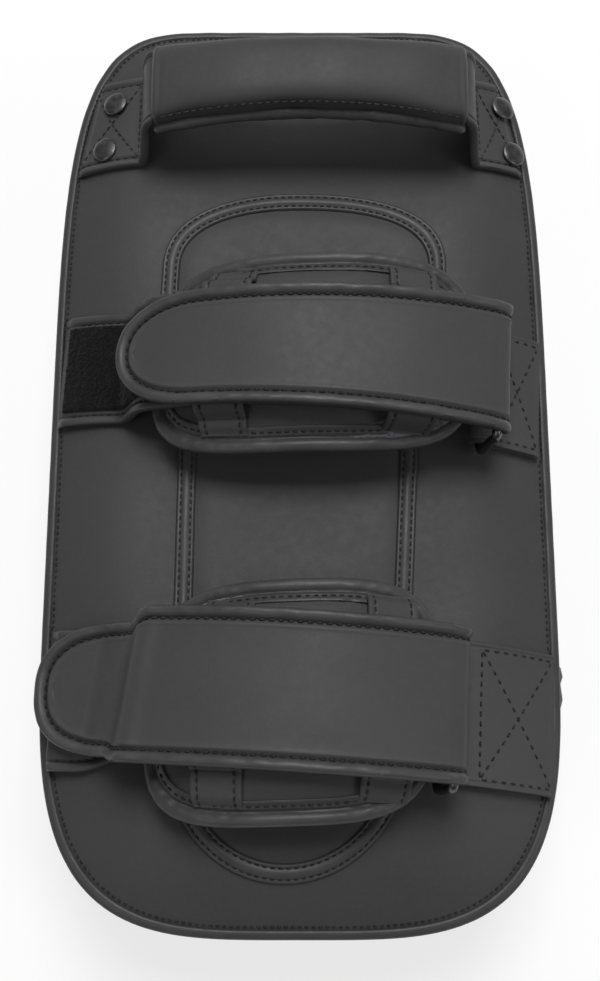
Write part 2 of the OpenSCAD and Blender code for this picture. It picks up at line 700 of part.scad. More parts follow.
module flap_binding(which) {
    right = bar_point(which)[0] - fold_r - 1;
    strap_frame(which) intersection() {
        ribbon(flap_path(which), -0.1, flap_t + bind_proud, flap_w(which) + 2);
        difference() {
            flap_plan_block(which, 0, right);
            translate([0, 0, -1]) flap_plan_block(which, bind_w, right + 1);
        }
    }
}

module hook_patch(which) {
    end = arc_point(which, flap_at, fastener_deg(which));
    path = concat([for (p = flap_path(which)) if (p[0] < end[0] - pile_t) p], [end]);
    strap_frame(which) intersection() {
        ribbon(path, -hook_t, 0.2, fastener_w);
        flap_plan_block(which, bind_w + 3, bar_point(which)[0]);
    }
}

// Rings and their anchor straps

// Underside of an anchor strap: on the back, and up over the tape of the centre panel where it reaches that
tape_lead = [9, 6];
function anchor_z(which, s) =
    let (u = (pick(which, key_top_w, key_low_w) / 2 + tape_lead[0] - s) / tape_lead[1])
    ground(which, s, anchor_w(which) / 2) + lift + (tape_t + lift) * smooth(min(1, max(0, u)));
// Lower bar of a ring: held by the anchor's loop
function low_bar(which) =
    let (s = bar_point(which)[0] - ring_lean) [s, anchor_z(which, s) + loop_r];

module wire_ring(which) {
    low = low_bar(which);
    bar = bar_point(which);
    lean = atan2(bar[0] - low[0], bar[1] - low[1]);
    w = ring_w(which);
    h = norm(bar - low);
    strap_frame(which) translate([low[0], -ring_shift, low[1]]) rotate([0, lean, 0]) {
        for (z = [0, h]) translate([0, 0, z]) rotate([90, 0, 0])
            cylinder(r = wire_r, h = w - 2 * ring_corner, center = true);
        for (side = [-1, 1]) {
            translate([0, side * w / 2, ring_corner]) cylinder(r = wire_r, h = h - 2 * ring_corner);
            for (top = [0, 1]) translate([0, side * (w / 2 - ring_corner), top ? h - ring_corner : ring_corner])
                rotate([0, 90, 0]) rotate([0, 0, side > 0 ? (top ? 90 : 0) : (top ? 180 : 270)])
                    rotate_extrude(angle = 90) translate([ring_corner, 0]) circle(r = wire_r);
        }
    }
}

module anchor_strap(which) {
    low = low_bar(which);
    right = pad_w / 2 - edge_clear;
    wide = bar_point(which)[0] + anchor_gap;
    path = function (left) let (n = ceil((right - left) / 4)) [for (k = [0:n])
        let (s = mix(left, right, k / n)) [s, anchor_z(which, s)]];
    strap_frame(which) difference() {
        union() {
            ribbon(path(wide), 0, 2 * anchor_t, anchor_w(which));
            translate([0, -ring_shift, 0]) ribbon(path(low[0]), 0, 2 * anchor_t, fold_w(which));
            along_bar_cylinder(low, loop_r, fold_w(which));
        }
        along_bar_cylinder(low, bore_r, 2 * flap_w(which));
    }
}

// Cuffs: padded shields carried by the fixed straps

// Thickness of the stuffed cuff across its width, from its edge (1) to its middle (0)
function cuff_crown(v) = mix(cuff_edge_t, cuff_t, 1 - pow(abs(v), 4));
cuff_across = [-1, -0.85, -0.5, 0, 0.5, 0.85, 1];
cuff_along = [for (k = [-8:8]) 0.985 * sin(90 * k / 8)];
cuff_shift = -4.3;

// Point of a cuff, by its place along the arch, its place across and its height above the lining
function cuff_point(which, s, t, at) =
    let (p = arc_point(which, at, (s + cuff_shift) / (arch_r(which) + cuff_t / 2) * 180 / PI)) [p[0], t, p[1]];
// Slice of a cuff layer between two heights, given as functions of the place across
function cuff_slice(which, u, low, high) =
    let (half = cuff_w(which) / 2 * pow(1 - pow(abs(u), cuff_power), 1 / cuff_power), s = u * cuff_l(which))
    concat(
        [for (v = cuff_across) cuff_point(which, s, v * half, low(v))],
        [for (v = reversed(cuff_across)) cuff_point(which, s, v * half, high(v))]);
module cuff_layer(which, low, high) {
    strap_frame(which) sheet([for (u = cuff_along) cuff_slice(which, u, low, high)]);
}

module cuff_lining(which) {
    color([0.09, 0.09, 0.09]) cuff_layer(which, function (v) 0, function (v) cuff_skin_t);
}

module cuff_foam(which) {
    color([0.25, 0.25, 0.27]) cuff_layer(which, function (v) cuff_skin_t + fit,
        function (v) cuff_crown(v) - cuff_skin_t - fit);
}

module cuff_cover(which) {
    color([0.12, 0.12, 0.12]) cuff_layer(which, function (v) cuff_crown(v) - cuff_skin_t,
        function (v) cuff_crown(v));
}

// Bound edge of a cuff, a bead round its outline
function cuff_rim(which, out, at) = [for (a = [0:9:351]) cuff_point(which,
    (cuff_l(which) + out) * power_cos(a, cuff_power), (cuff_w(which) / 2 + out) * power_sin(a, cuff_power), at)];
module cuff_binding(which) {
    color([0.11, 0.11, 0.11]) strap_frame(which)
        hoop([for (a = [0:45:315]) cuff_rim(which, cuff_edge_r + fit + cuff_edge_r * cos(a),
            cuff_edge_t / 2 - cuff_edge_r * sin(a))]);
}

// Keeper bands: bridges over the fixed strap, turned about the arch's own axis
function keeper_profile(which) =
    let (
        r = arch_r(which),
        in_t = strap_w / 2 + 1.2,
        foot_t = cuff_w(which) / 2 * 0.86,
        seat = function (t) r + cuff_crown(t / (cuff_w(which) / 2)) + lift,
        outer = [[r + keeper_at, 0], [r + keeper_at, in_t], [seat(in_t), in_t + 0.2],
            [seat(mix(in_t, foot_t, 0.5)), mix(in_t, foot_t, 0.5)], [seat(foot_t), foot_t]],
        back = [[seat(foot_t) + keeper_t, foot_t], [seat(in_t) + keeper_t, in_t + 0.2 + keeper_t],
            [r + keeper_at + keeper_t, in_t + keeper_t], [r + keeper_at + keeper_t, 0]])
    let (half = concat(outer, back), n = len(half))
    concat(outer, [for (i = [0:2]) back[i]], [for (i = [2:-1:0]) [back[i][0], -back[i][1]]],
        [for (i = [4:-1:1]) [outer[i][0], -outer[i][1]]]);
module cuff_keepers(which) {
    turn = keeper_half(which);
    color([0.12, 0.12, 0.12]) strap_frame(which) translate([arch_x(which), 0, arch_z(which)])
        rotate([90, 0, 0]) for (deg = keeper_degs(which)) rotate([0, 0, 90 - deg - turn])
            rotate_extrude(angle = 2 * turn) polygon(keeper_profile(which));
}

// Named pieces of the two straps
module upper_base_strap() { color([0.12, 0.12, 0.12]) base_strap(0); }
module lower_base_strap() { color([0.12, 0.12, 0.12]) base_strap(1); }
module upper_base_binding() { color([0.10, 0.10, 0.10]) base_binding(0); }
module lower_base_binding() { color([0.10, 0.10, 0.10]) base_binding(1); }
module upper_loop_fastener() { color([0.04, 0.04, 0.04]) pile_patch(0); }
module lower_loop_fastener() { color([0.04, 0.04, 0.04]) pile_patch(1); }
module upper_flap() { color([0.13, 0.13, 0.13]) flap(0); }
module lower_flap() { color([0.13, 0.13, 0.13]) flap(1); }
module upper_flap_binding() { color([0.11, 0.11, 0.11]) flap_binding(0); }
module lower_flap_binding() { color([0.11, 0.11, 0.11]) flap_binding(1); }
module upper_hook_fastener() { color([0.05, 0.05, 0.05]) hook_patch(0); }
module lower_hook_fastener() { color([0.05, 0.05, 0.05]) hook_patch(1); }
module upper_ring() { color([0.30, 0.30, 0.31]) wire_ring(0); }
module lower_ring() { color([0.30, 0.30, 0.31]) wire_ring(1); }
module upper_ring_anchor() { color([0.12, 0.12, 0.12]) anchor_strap(0); }
module lower_ring_anchor() { color([0.12, 0.12, 0.12]) anchor_strap(1); }

strike_cover();
upper_side_wall();
lower_side_wall();
back_panel();
back_edge_binding();
front_edge_binding();
impact_foam();
core_foam();
base_foam();
centre_panel();
centre_panel_tape();
handle_strap();
grip_cover();
grip_foam();
handle_rivets();
rivet_washers();
upper_base_strap();
upper_base_binding();
upper_loop_fastener();
upper_ring_anchor();
upper_ring();
upper_flap();
upper_flap_binding();
upper_hook_fastener();
cuff_lining(0);  // upper_cuff_lining
cuff_foam(0);  // upper_cuff_foam
cuff_cover(0);  // upper_cuff_cover
cuff_binding(0);  // upper_cuff_binding
cuff_keepers(0);  // upper_cuff_keepers
lower_base_strap();
lower_base_binding();
lower_loop_fastener();
lower_ring_anchor();
lower_ring();
lower_flap();
lower_flap_binding();
lower_hook_fastener();
cuff_lining(1);  // lower_cuff_lining
cuff_foam(1);  // lower_cuff_foam
cuff_cover(1);  // lower_cuff_cover
cuff_binding(1);  // lower_cuff_binding
cuff_keepers(1);  // lower_cuff_keepers
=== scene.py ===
"""Studio scene of a Thai pad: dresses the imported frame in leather, thread, pile and metal.

Lengths in the classes are millimetres in the CAD frame; a mesh is made in metres.
"""

import logging
import math
from collections.abc import Callable
from dataclasses import dataclass, field
from enum import Enum

import bmesh
import bpy
import numpy as np
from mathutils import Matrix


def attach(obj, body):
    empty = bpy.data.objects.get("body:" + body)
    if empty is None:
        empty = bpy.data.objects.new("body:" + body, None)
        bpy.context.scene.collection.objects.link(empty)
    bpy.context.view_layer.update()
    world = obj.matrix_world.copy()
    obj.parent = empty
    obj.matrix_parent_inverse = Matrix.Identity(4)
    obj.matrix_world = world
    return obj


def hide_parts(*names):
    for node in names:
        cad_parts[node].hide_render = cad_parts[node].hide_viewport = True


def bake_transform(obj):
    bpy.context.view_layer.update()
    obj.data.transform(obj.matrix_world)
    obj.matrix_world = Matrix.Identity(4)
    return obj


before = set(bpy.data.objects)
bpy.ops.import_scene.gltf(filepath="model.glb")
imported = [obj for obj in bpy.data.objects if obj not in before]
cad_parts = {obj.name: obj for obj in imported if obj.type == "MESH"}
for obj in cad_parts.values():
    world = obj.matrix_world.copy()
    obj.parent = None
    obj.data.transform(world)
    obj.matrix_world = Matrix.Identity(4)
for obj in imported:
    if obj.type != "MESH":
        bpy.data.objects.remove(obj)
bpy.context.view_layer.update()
LOG = logging.getLogger("thai_pad")
MM = 0.001
MERGE_M = 2e-6
WAVES = 7
GROOVE_ROW = 10
STITCH_SIDES = 6
Array = np.ndarray
Colour = tuple[float, float, float]
Place = Callable[[Array, Array, Array], Array]
Socket = bpy.types.NodeSocket
StitchRow = tuple[Array, Array]


class Slot(Enum):
    """Material slots of the record, which the finishes carry."""

    LEATHER = "leather"
    BOUND_EDGE = "bound_edge"
    LINING = "lining"
    PILE = "pile"
    HOOK = "hook"


class Site(Enum):
    """The two forearm straps, named as the CAD nodes and bodies begin."""

    UPPER = "upper"
    LOWER = "lower"


# Number helpers


def ramp(value: Array | float, start: float, end: float) -> Array:
    """Smooth step from 0 at start to 1 at end."""
    u = np.clip((np.asarray(value, float) - start) / (end - start), 0.0, 1.0)
    return u * u * (3.0 - 2.0 * u)


def power(value: Array, exponent: float) -> Array:
    """Power of a number's size that keeps its sign."""
    return np.sign(value) * np.abs(value) ** exponent


def bump(value: Array, centre: float, width: float) -> Array:
    """Bell curve of height 1."""
    return np.exp(-(((np.asarray(value, float) - centre) / width) ** 2))


def ripple(x: Array, y: Array | float, length: float, seed: int) -> Array:
    """Smooth unevenness of about -1 to 1, the sum of seven plane sine waves.

    Args:
        x: First coordinates.
        y: Second coordinates.
        length: Middle wavelength.
        seed: Seed of the waves' directions, lengths and phases.

    Returns:
        The unevenness at each place.
    """
    rng = np.random.default_rng(seed)
    turn = rng.uniform(0, 2 * np.pi, WAVES)
    waves = length * rng.uniform(0.65, 1.5, WAVES)
    phase = rng.uniform(0, 2 * np.pi, WAVES)
    across = np.asarray(x, float)[..., None] * np.cos(turn) + np.asarray(y, float)[..., None] * np.sin(turn)
    return np.sin(2 * np.pi * across / waves + phase).sum(-1) / 2.8


def bezier(a: tuple, b: tuple, c: tuple, d: tuple, count: int) -> Array:
    """Points of a cubic curve, its end left out.

    Args:
        a: Start.
        b: Lead at the start.
        c: Lead at the end.
        d: End.
        count: Number of points.

    Returns:
        The points, one a row.
    """
    u = (np.arange(count) / count)[:, None]
    terms = ((1 - u) ** 3, 3 * u * (1 - u) ** 2, 3 * u * u * (1 - u), u**3)
    return sum(t * np.asarray(p, float) for t, p in zip(terms, (a, b, c, d)))


def border(thick: float, roll: float, proud: float) -> Array:
    """Profile of a turned and sewn edge: a rolled rim, a stitch groove and a thin ridge inside it.

    Args:
        thick: Thickness of the sheet.
        roll: Width of the rolled rim.
        proud: How far the rim stands above the sheet.

    Returns:
        Rows of [inset, height], from the underside round the rim to the flat field. The groove is GROOVE_ROW.
    """
    # Each row: share of the roll, share of the thickness, share of the proud rim
    shape = np.array([
        [0.42, 0.0, 0.0], [0.2, 0.04, 0.0], [0.05, 0.22, 0.0], [0.0, 0.5, 0.0], [0.05, 0.8, 0.3],
        [0.17, 1.0, 0.78], [0.36, 1.0, 1.0], [0.56, 1.0, 0.88], [0.74, 1.0, 0.4], [0.87, 1.0, -0.3],
        [1.0, 1.0, -0.85], [1.14, 1.0, -0.5], [1.25, 1.0, 0.14], [1.38, 1.0, 0.32], [1.52, 1.0, 0.08],
        [1.7, 1.0, 0.0]])
    return np.stack([shape[:, 0] * roll, shape[:, 1] * thick + shape[:, 2] * proud], -1)


def hemmed(edge: Array, half: float) -> Array:
    """Closed section of a strip, as [across, up], with the same [inset, height] profile on both edges."""
    right = np.stack([half - edge[:, 0], edge[:, 1]], -1)
    return np.concatenate([right, (right * [-1, 1])[::-1]])


def run_of(points: Array) -> Array:
    """Distance along a line of points, at each of them."""
    steps = np.linalg.norm(np.diff(points, axis=0), axis=1)
    return np.concatenate([[0.0], np.cumsum(steps)])


def closed(path: Array) -> Array:
    """Path that ends where it starts."""
    return np.concatenate([path, path[:1]])


def spread(*values: Array | float) -> list[Array]:
    """Numbers as arrays of one shape."""
    return list(np.broadcast_arrays(*(np.asarray(v, float) for v in values)))


# Meshes


def grid_quads(rows: int, cols: int, wrap_rows: bool, wrap_cols: bool) -> Array:
    """Faces of a grid of points counted row by row.

    Args:
        rows: Number of rows.
        cols: Number of points in a row.
        wrap_rows: Whether the last row joins the first.
        wrap_cols: Whether the last point of a row joins its first.

    Returns:
        Four point numbers for each face.
    """
    r = np.arange(rows if wrap_rows else rows - 1)[:, None]
    c = np.arange(cols if wrap_cols else cols - 1)[None, :]
    below, beside = (r + 1) % rows, (c + 1) % cols
    return np.stack([r * cols + c, r * cols + beside, below * cols + beside, below * cols + c], -1).reshape(-1, 4)


@dataclass
class Skin:
    """Points and faces of a mesh, with how worn each point is."""

    points: Array
    faces: list[list[int]]
    wear: Array

    @classmethod
    def grid(cls, points: Array, wrap_rows: bool = False, wrap_cols: bool = False, caps: bool = False,
             wear: Array | float = 0.0) -> "Skin":
        """Surface through a grid of points.

        Args:
            points: Grid of places, by row and column.
            wrap_rows: Whether the last row joins the first.
            wrap_cols: Whether each row is a closed loop.
            caps: Whether the first and last rows are closed by a face.
            wear: Wear of the points, from 0 to 1.

        Returns:
            The skin.
        """
        rows, cols = points.shape[:2]
        faces = grid_quads(rows, cols, wrap_rows, wrap_cols).tolist()
        if caps:
            faces += [list(range(cols)), list(range((rows - 1) * cols, rows * cols))]
        worn = np.broadcast_to(wear, (rows, cols)).reshape(-1)
        return cls(points.reshape(-1, 3), faces, worn)

    @classmethod
    def join(cls, skins: list["Skin"]) -> "Skin":
        """One skin of several.

        Args:
            skins: The skins.

        Returns:
            The skin of them all.
        """
        starts = np.cumsum([0] + [len(s.points) for s in skins])
        faces = [[i + int(k) for i in f] for s, k in zip(skins, starts) for f in s.faces]
        return cls(np.concatenate([s.points for s in skins]), faces, np.concatenate([s.wear for s in skins]))


def stitch_row(place: Place, along: Array, across: Array, up: Array | float) -> StitchRow:
    """Line of a seam on a surface, with the surface's direction at each point.

    Args:
        place: The surface.
        along: First coordinates of the line.
        across: Second coordinates of the line.
        up: Height of the line.

    Returns:
        Points and unit normals.
    """
    a, b, h = spread(along, across, up)
    low = place(a, b, h)
    normal = place(a, b, h + 1.0) - low
    return low, normal / np.linalg.norm(normal, axis=-1, keepdims=True)


def stitches(rows: list[StitchRow], pitch: float, length: float, radius: float) -> Skin:
    """Threads of a seam: each is a short bowed rod of six sides that dips in at both ends.

    Args:
        rows: Lines of the seam.
        pitch: Distance from stitch to stitch.
        length: Length of a stitch.
        radius: Radius of the thread.

    Returns:
        The skin of all the threads.
    """
    nudge = 0.4
    centres, tangents, normals = [], [], []
    for points, normal in rows:
        run = run_of(points)
        count = max(1, int(round(run[-1] / pitch)))
        at = (np.arange(count) + 0.5) * run[-1] / count
        pick = [np.stack([np.interp(a, run, v[:, k]) for k in range(3)], -1)
                for a, v in ((at, points), (at - nudge, points), (at + nudge, points), (at, normal))]
        centres.append(pick[0])
        tangents.append(pick[2] - pick[1])
        normals.append(pick[3])
    centre, tangent, normal = (np.concatenate(v)[:, None, None, :] for v in (centres, tangents, normals))
    tangent = tangent / np.maximum(np.linalg.norm(tangent, axis=-1, keepdims=True), 1e-9)
    side = np.cross(normal, tangent)
    u = np.array([-1.0, -0.62, 0.0, 0.62, 1.0])[None, :, None, None]
    thick = radius * np.array([0.4, 0.88, 1.0, 0.88, 0.4])[None, :, None, None]
    turn = np.radians(np.arange(0, 360, 360 // STITCH_SIDES))[None, None, :, None]
    rise = radius * (1.5 * (1 - u * u) - 0.95)
    points = (centre + tangent * u * length / 2 + normal * rise
              + thick * (side * np.cos(turn) + normal * np.sin(turn)))
    rings = u.size
    each = rings * STITCH_SIDES
    one = grid_quads(rings, STITCH_SIDES, False, True).tolist()
    one += [list(range(STITCH_SIDES)), list(range(each - STITCH_SIDES, each))]
    faces = [[i + each * k for i in f] for k in range(len(points)) for f in one]
    flat = points.reshape(-1, 3)
    return Skin(flat, faces, np.zeros(len(flat)))


def crossed_box(place: Place, run: Array, end: Array, half: float, up: float, over: float) -> list[StitchRow]:
    """Seam of a sewn box: its two sides, one end and two diagonals.

    Args:
        place: The surface.
        run: Distances along the box.
        end: Place along the surface of each point of the sewn end.
        half: Half the box's width.
        up: Height of the sides and the end.
        over: Height of the diagonals.

    Returns:
        The five lines.
    """
    sides = [stitch_row(place, run, np.full(len(run), v * half), up) for v in (-1, 1)]
    close = stitch_row(place, end, np.linspace(-half, half, len(end)), up)
    cross = [stitch_row(place, run, np.linspace(-v * half, v * half, len(run)), over) for v in (-1, 1)]
    return [*sides, close, *cross]


class Track:
    """Path of a strap in its own upright plane, measured along its length.

    A place is (along, across, up): P(along) + up * N(along) in the plane, then turned by the slant a,
    x = s cos a - t sin a and y = y0 + s sin a + t cos a.
    """

    def __init__(self, points: Array, middle_y: float, slant: float = 0.0) -> None:
        """Measures the path.

        Args:
            points: Rows of [s, z].
            middle_y: Where the plane crosses the pad's middle.
            slant: Turn of the plane, in degrees.
        """
        self.run = run_of(points)
        self.points = points
        tangent = np.gradient(points, self.run, axis=0)
        tangent /= np.linalg.norm(tangent, axis=1, keepdims=True)
        self.normal = np.stack([-tangent[:, 1], tangent[:, 0]], -1)
        self.middle_y = middle_y
        self.slant = math.radians(slant)

    @property
    def length(self) -> float:
        """Length of the path."""
        return float(self.run[-1])

    def at(self, s: float) -> float:
        """Distance along the path at which it first reaches a place s."""
        first = int(np.argmax(self.points[:, 0]))
        return float(np.interp(s, self.points[:first + 1, 0], self.run[:first + 1]))

    def place(self, along: Array, across: Array, up: Array) -> Array:
        """Points of the pad's frame at places on the strap.

        Args:
            along: Distances along the path.
            across: Distances from its middle line.
            up: Heights above it.

        Returns:
            The points, with x, y and z in the last axis.
        """
        along, across, up = spread(along, across, up)
        low = [np.interp(along, self.run, self.points[:, k]) for k in (0, 1)]
        s, z = (low[k] + up * np.interp(along, self.run, self.normal[:, k]) for k in (0, 1))
        cos, sin = math.cos(self.slant), math.sin(self.slant)
        return np.stack([s * cos - across * sin, self.middle_y + s * sin + across * cos, z], -1)

    def band(self, along: Array, section: Array, wear: Array | float, swell: Array, flare: Array) -> Skin:
        """A closed cross-section carried along the path.

        Args:
            along: Stations.
            section: Closed loop of [across, up].
            wear: Wear of the loop's points.
            swell: Factor on the heights at each station.
            flare: How far the loop's negative side is moved out at each station.

        Returns:
            The skin, closed at both ends.
        """
        across = section[:, 0] - flare[:, None] * (section[:, 0] < 0)
        heights = section[:, 1] * swell[:, None]
        return Skin.grid(self.place(along[:, None], across, heights), wrap_cols=True, caps=True, wear=wear)


# Finishes


class Nodes:
    """Adds nodes to a new material or world and joins them."""

    def __init__(self, block: bpy.types.Material | bpy.types.World) -> None:
        """Starts from the shader that a new block has.

        Args:
            block: The material or world.
        """
        block.use_nodes = True
        self.block = block
        self.tree = block.node_tree
        self.shader = next(n for n in self.tree.nodes if n.type in ("BSDF_PRINCIPLED", "BACKGROUND"))

    def add(self, kind: str, inputs: dict, **settings: object) -> bpy.types.Node:
        """Adds a node.

        Args:
            kind: Type of node.
            inputs: Value or socket for each input, by name or number.
            settings: Properties of the node.

        Returns:
            The node.
        """
        node = self.tree.nodes.new(kind)
        for key, value in settings.items():
            setattr(node, key, value)
        self.join(node, inputs)
        return node

    def join(self, node: bpy.types.Node, inputs: dict) -> None:
        """Sets or links a node's inputs.

        Args:
            node: The node.
            inputs: Value or socket for each input, by name or number.
        """
        for key, value in inputs.items():
            if isinstance(value, Socket):
                self.tree.links.new(value, node.inputs[key])
            else:
                node.inputs[key].default_value = value

    def coordinates(self) -> Socket:
        """The object's own coordinates."""
        return self.add("ShaderNodeTexCoord", {}).outputs["Object"]

    def noise(self, scale: float, detail: float = 3.0) -> Socket:
        """Noise on the object's own coordinates, with cells of 1 / scale metres."""
        inputs = {"Vector": self.coordinates(), "Scale": scale, "Detail": detail}
        return self.add("ShaderNodeTexNoise", inputs).outputs["Fac"]

    def cells(self, scale: float) -> Socket:
        """Rounded cells on the object's own coordinates."""
        inputs = {"Vector": self.coordinates(), "Scale": scale, "Smoothness": 0.4}
        return self.add("ShaderNodeTexVoronoi", inputs, feature="SMOOTH_F1").outputs["Distance"]

    def worn(self) -> Socket:
        """Wear that the mesh carries at each point."""
        return self.add("ShaderNodeAttribute", {}, attribute_name="wear").outputs["Fac"]

    def blend(self, factor: Socket, a: object, b: object) -> Socket:
        """Mix of two colours, each a socket or three numbers."""
        ends = {k: (*v, 1.0) if isinstance(v, tuple) else v for k, v in ((6, a), (7, b))}
        return self.add("ShaderNodeMix", {0: factor, **ends}, data_type="RGBA").outputs[2]

    def span(self, value: Socket, low: float, high: float, start: float = 0.0, end: float = 1.0) -> Socket:
        """Value moved from the range start to end into the range low to high."""
        inputs = {"Value": value, "From Min": start, "From Max": end, "To Min": low, "To Max": high}
        return self.add("ShaderNodeMapRange", inputs).outputs["Result"]

    def sums(self, operation: str, a: object, b: object) -> Socket:
        """Result of a sum of two values."""
        return self.add("ShaderNodeMath", {0: a, 1: b}, operation=operation).outputs[0]

    def relief(self, height: Socket, strength: float, distance: float, under: Socket | None = None) -> Socket:
        """Bump from a height, over another bump if one is given.

        Args:
            height: The height.
            strength: Share of the bump that shows.
            distance: Depth in metres.
            under: Another bump.

        Returns:
            The bent normal.
        """
        inputs = {"Height": height, "Strength": strength, "Distance": distance}
        if under is not None:
            inputs["Normal"] = under
        return self.add("ShaderNodeBump", inputs).outputs["Normal"]


@dataclass(frozen=True)
class Finish:
    """A finish between a dark and a light tone."""

    name: str
    dark: Colour
    light: Colour

    def inputs(self, n: Nodes) -> dict[str, object]:
        """Value or socket for each of the shader's inputs."""
        raise NotImplementedError

    def material(self) -> bpy.types.Material:
        """Makes the material.

        Returns:
            The material.
        """
        n = Nodes(bpy.data.materials.new(self.name))
        n.join(n.shader, self.inputs(n))
        return n.block


@dataclass(frozen=True)
class Leather(Finish):
    """Matt coated leather: a fine pebble grain, a soft change of tone and paler, smoother worn rims."""

    worn: Colour
    rough: float = 0.52
    grain: float = 1150.0
    depth: float = 0.2
    shine: float = 0.16
    slot: Slot = Slot.LEATHER

    def inputs(self, n: Nodes) -> dict[str, object]:
        """Works out the shader's inputs.

        Args:
            n: The material's nodes.

        Returns:
            Value or socket for each input.
        """
        tone = n.blend(n.span(n.noise(24.0, 4.0), 0.3, 0.7, 0.3, 0.7), self.dark, self.light)
        fleck = n.blend(n.span(n.noise(420.0, 2.0), 0.0, 0.5, 0.45, 0.75), tone, self.light)
        rub = n.sums("MULTIPLY", n.worn(), n.span(n.noise(60.0), 0.25, 1.0, 0.3, 0.65))
        creases = n.relief(n.noise(260.0, 4.0), 0.12, 0.0003)
        return {
            "Base Color": n.blend(rub, fleck, self.worn),
            "Roughness": n.span(n.noise(300.0, 3.0), self.rough - 0.04, self.rough + 0.05, 0.3, 0.7),
            "Specular IOR Level": self.shine,
            "Normal": n.relief(n.cells(self.grain), self.depth, 0.00016, creases)}


@dataclass(frozen=True)
class Thread(Finish):
    """Twisted sewing thread: dark, with paler strands."""

    slot: Slot = Slot.BOUND_EDGE

    def inputs(self, n: Nodes) -> dict[str, object]:
        """Works out the shader's inputs.

        Args:
            n: The material's nodes.

        Returns:
            Value or socket for each input.
        """
        strand = n.noise(1500.0, 2.0)
        return {
            "Base Color": n.blend(n.span(strand, 0.0, 1.0, 0.42, 0.72), self.dark, self.light),
            "Roughness": n.span(strand, 0.55, 0.8),
            "Specular IOR Level": 0.2,
            "Sheen Weight": 0.04,
            "Normal": n.relief(strand, 0.35, 0.0002)}


@dataclass(frozen=True)
class Fuzz(Finish):
    """Pile or hooks of a touch fastener: a rough dark nap with pale ends."""

    scale: float
    slot: Slot

    def inputs(self, n: Nodes) -> dict[str, object]:
        """Works out the shader's inputs.

        Args:
            n: The material's nodes.

        Returns:
            Value or socket for each input.
        """
        nap = n.noise(self.scale, 6.0)
        return {
            "Base Color": n.blend(n.span(nap, 0.0, 1.0, 0.52, 0.78), self.dark, self.light),
            "Roughness": n.span(nap, 0.8, 1.0),
            "Specular IOR Level": 0.12,
            "Sheen Weight": 0.08,
            "Sheen Roughness": 0.5,
            "Normal": n.relief(nap, 0.8, 0.0006)}


@dataclass(frozen=True)
class Cloth(Finish):
    """Woven lining: two crossing sets of fine ribs."""

    rib: float = 700.0
    slot: Slot = Slot.LINING

    def inputs(self, n: Nodes) -> dict[str, object]:
        """Works out the shader's inputs.

        Args:
            n: The material's nodes.

        Returns:
            Value or socket for each input.
        """
        where = n.coordinates()
        ribs = [n.add("ShaderNodeTexWave", {"Vector": where, "Scale": self.rib / 3, "Distortion": 0.6},
                      bands_direction=d).outputs["Fac"] for d in ("X", "Y")]
        weave = n.sums("MULTIPLY", ribs[0], ribs[1])
        return {
            "Base Color": n.blend(weave, self.dark, self.light),
            "Roughness": n.span(n.noise(200.0), 0.7, 0.85),
            "Sheen Weight": 0.2,
            "Normal": n.relief(weave, 0.35, 0.0004)}


@dataclass(frozen=True)
class Metal(Finish):
    """Plated or lacquered metal with fine wear."""

    metallic: float
    rough: float
    coat: float = 0.0

    def inputs(self, n: Nodes) -> dict[str, object]:
        """Works out the shader's inputs.

        Args:
            n: The material's nodes.

        Returns:
            Value or socket for each input.
        """
        scuff = n.noise(350.0, 6.0)
        return {
            "Base Color": n.blend(n.span(scuff, 0.0, 1.0, 0.4, 0.7), self.dark, self.light),
            "Metallic": self.metallic,
            "Roughness": n.span(scuff, self.rough - 0.06, self.rough + 0.12, 0.3, 0.7),
            "Coat Weight": self.coat,
            "Coat Roughness": 0.2,
            "Normal": n.relief(n.noise(900.0, 3.0), 0.06, 0.0002)}


@dataclass(frozen=True)
class Foam(Finish):
    """Open foam: small round cells."""

    cell: float

    def inputs(self, n: Nodes) -> dict[str, object]:
        """Works out the shader's inputs.

        Args:
            n: The material's nodes.

        Returns:
            Value or socket for each input.
        """
        cells = n.cells(self.cell)
        return {
            "Base Color": n.blend(n.span(cells, 0.0, 1.0, 0.1, 0.6), self.dark, self.light),
            "Roughness": n.span(n.noise(80.0), 0.85, 0.98),
            "Normal": n.relief(cells, 0.6, 0.0008)}


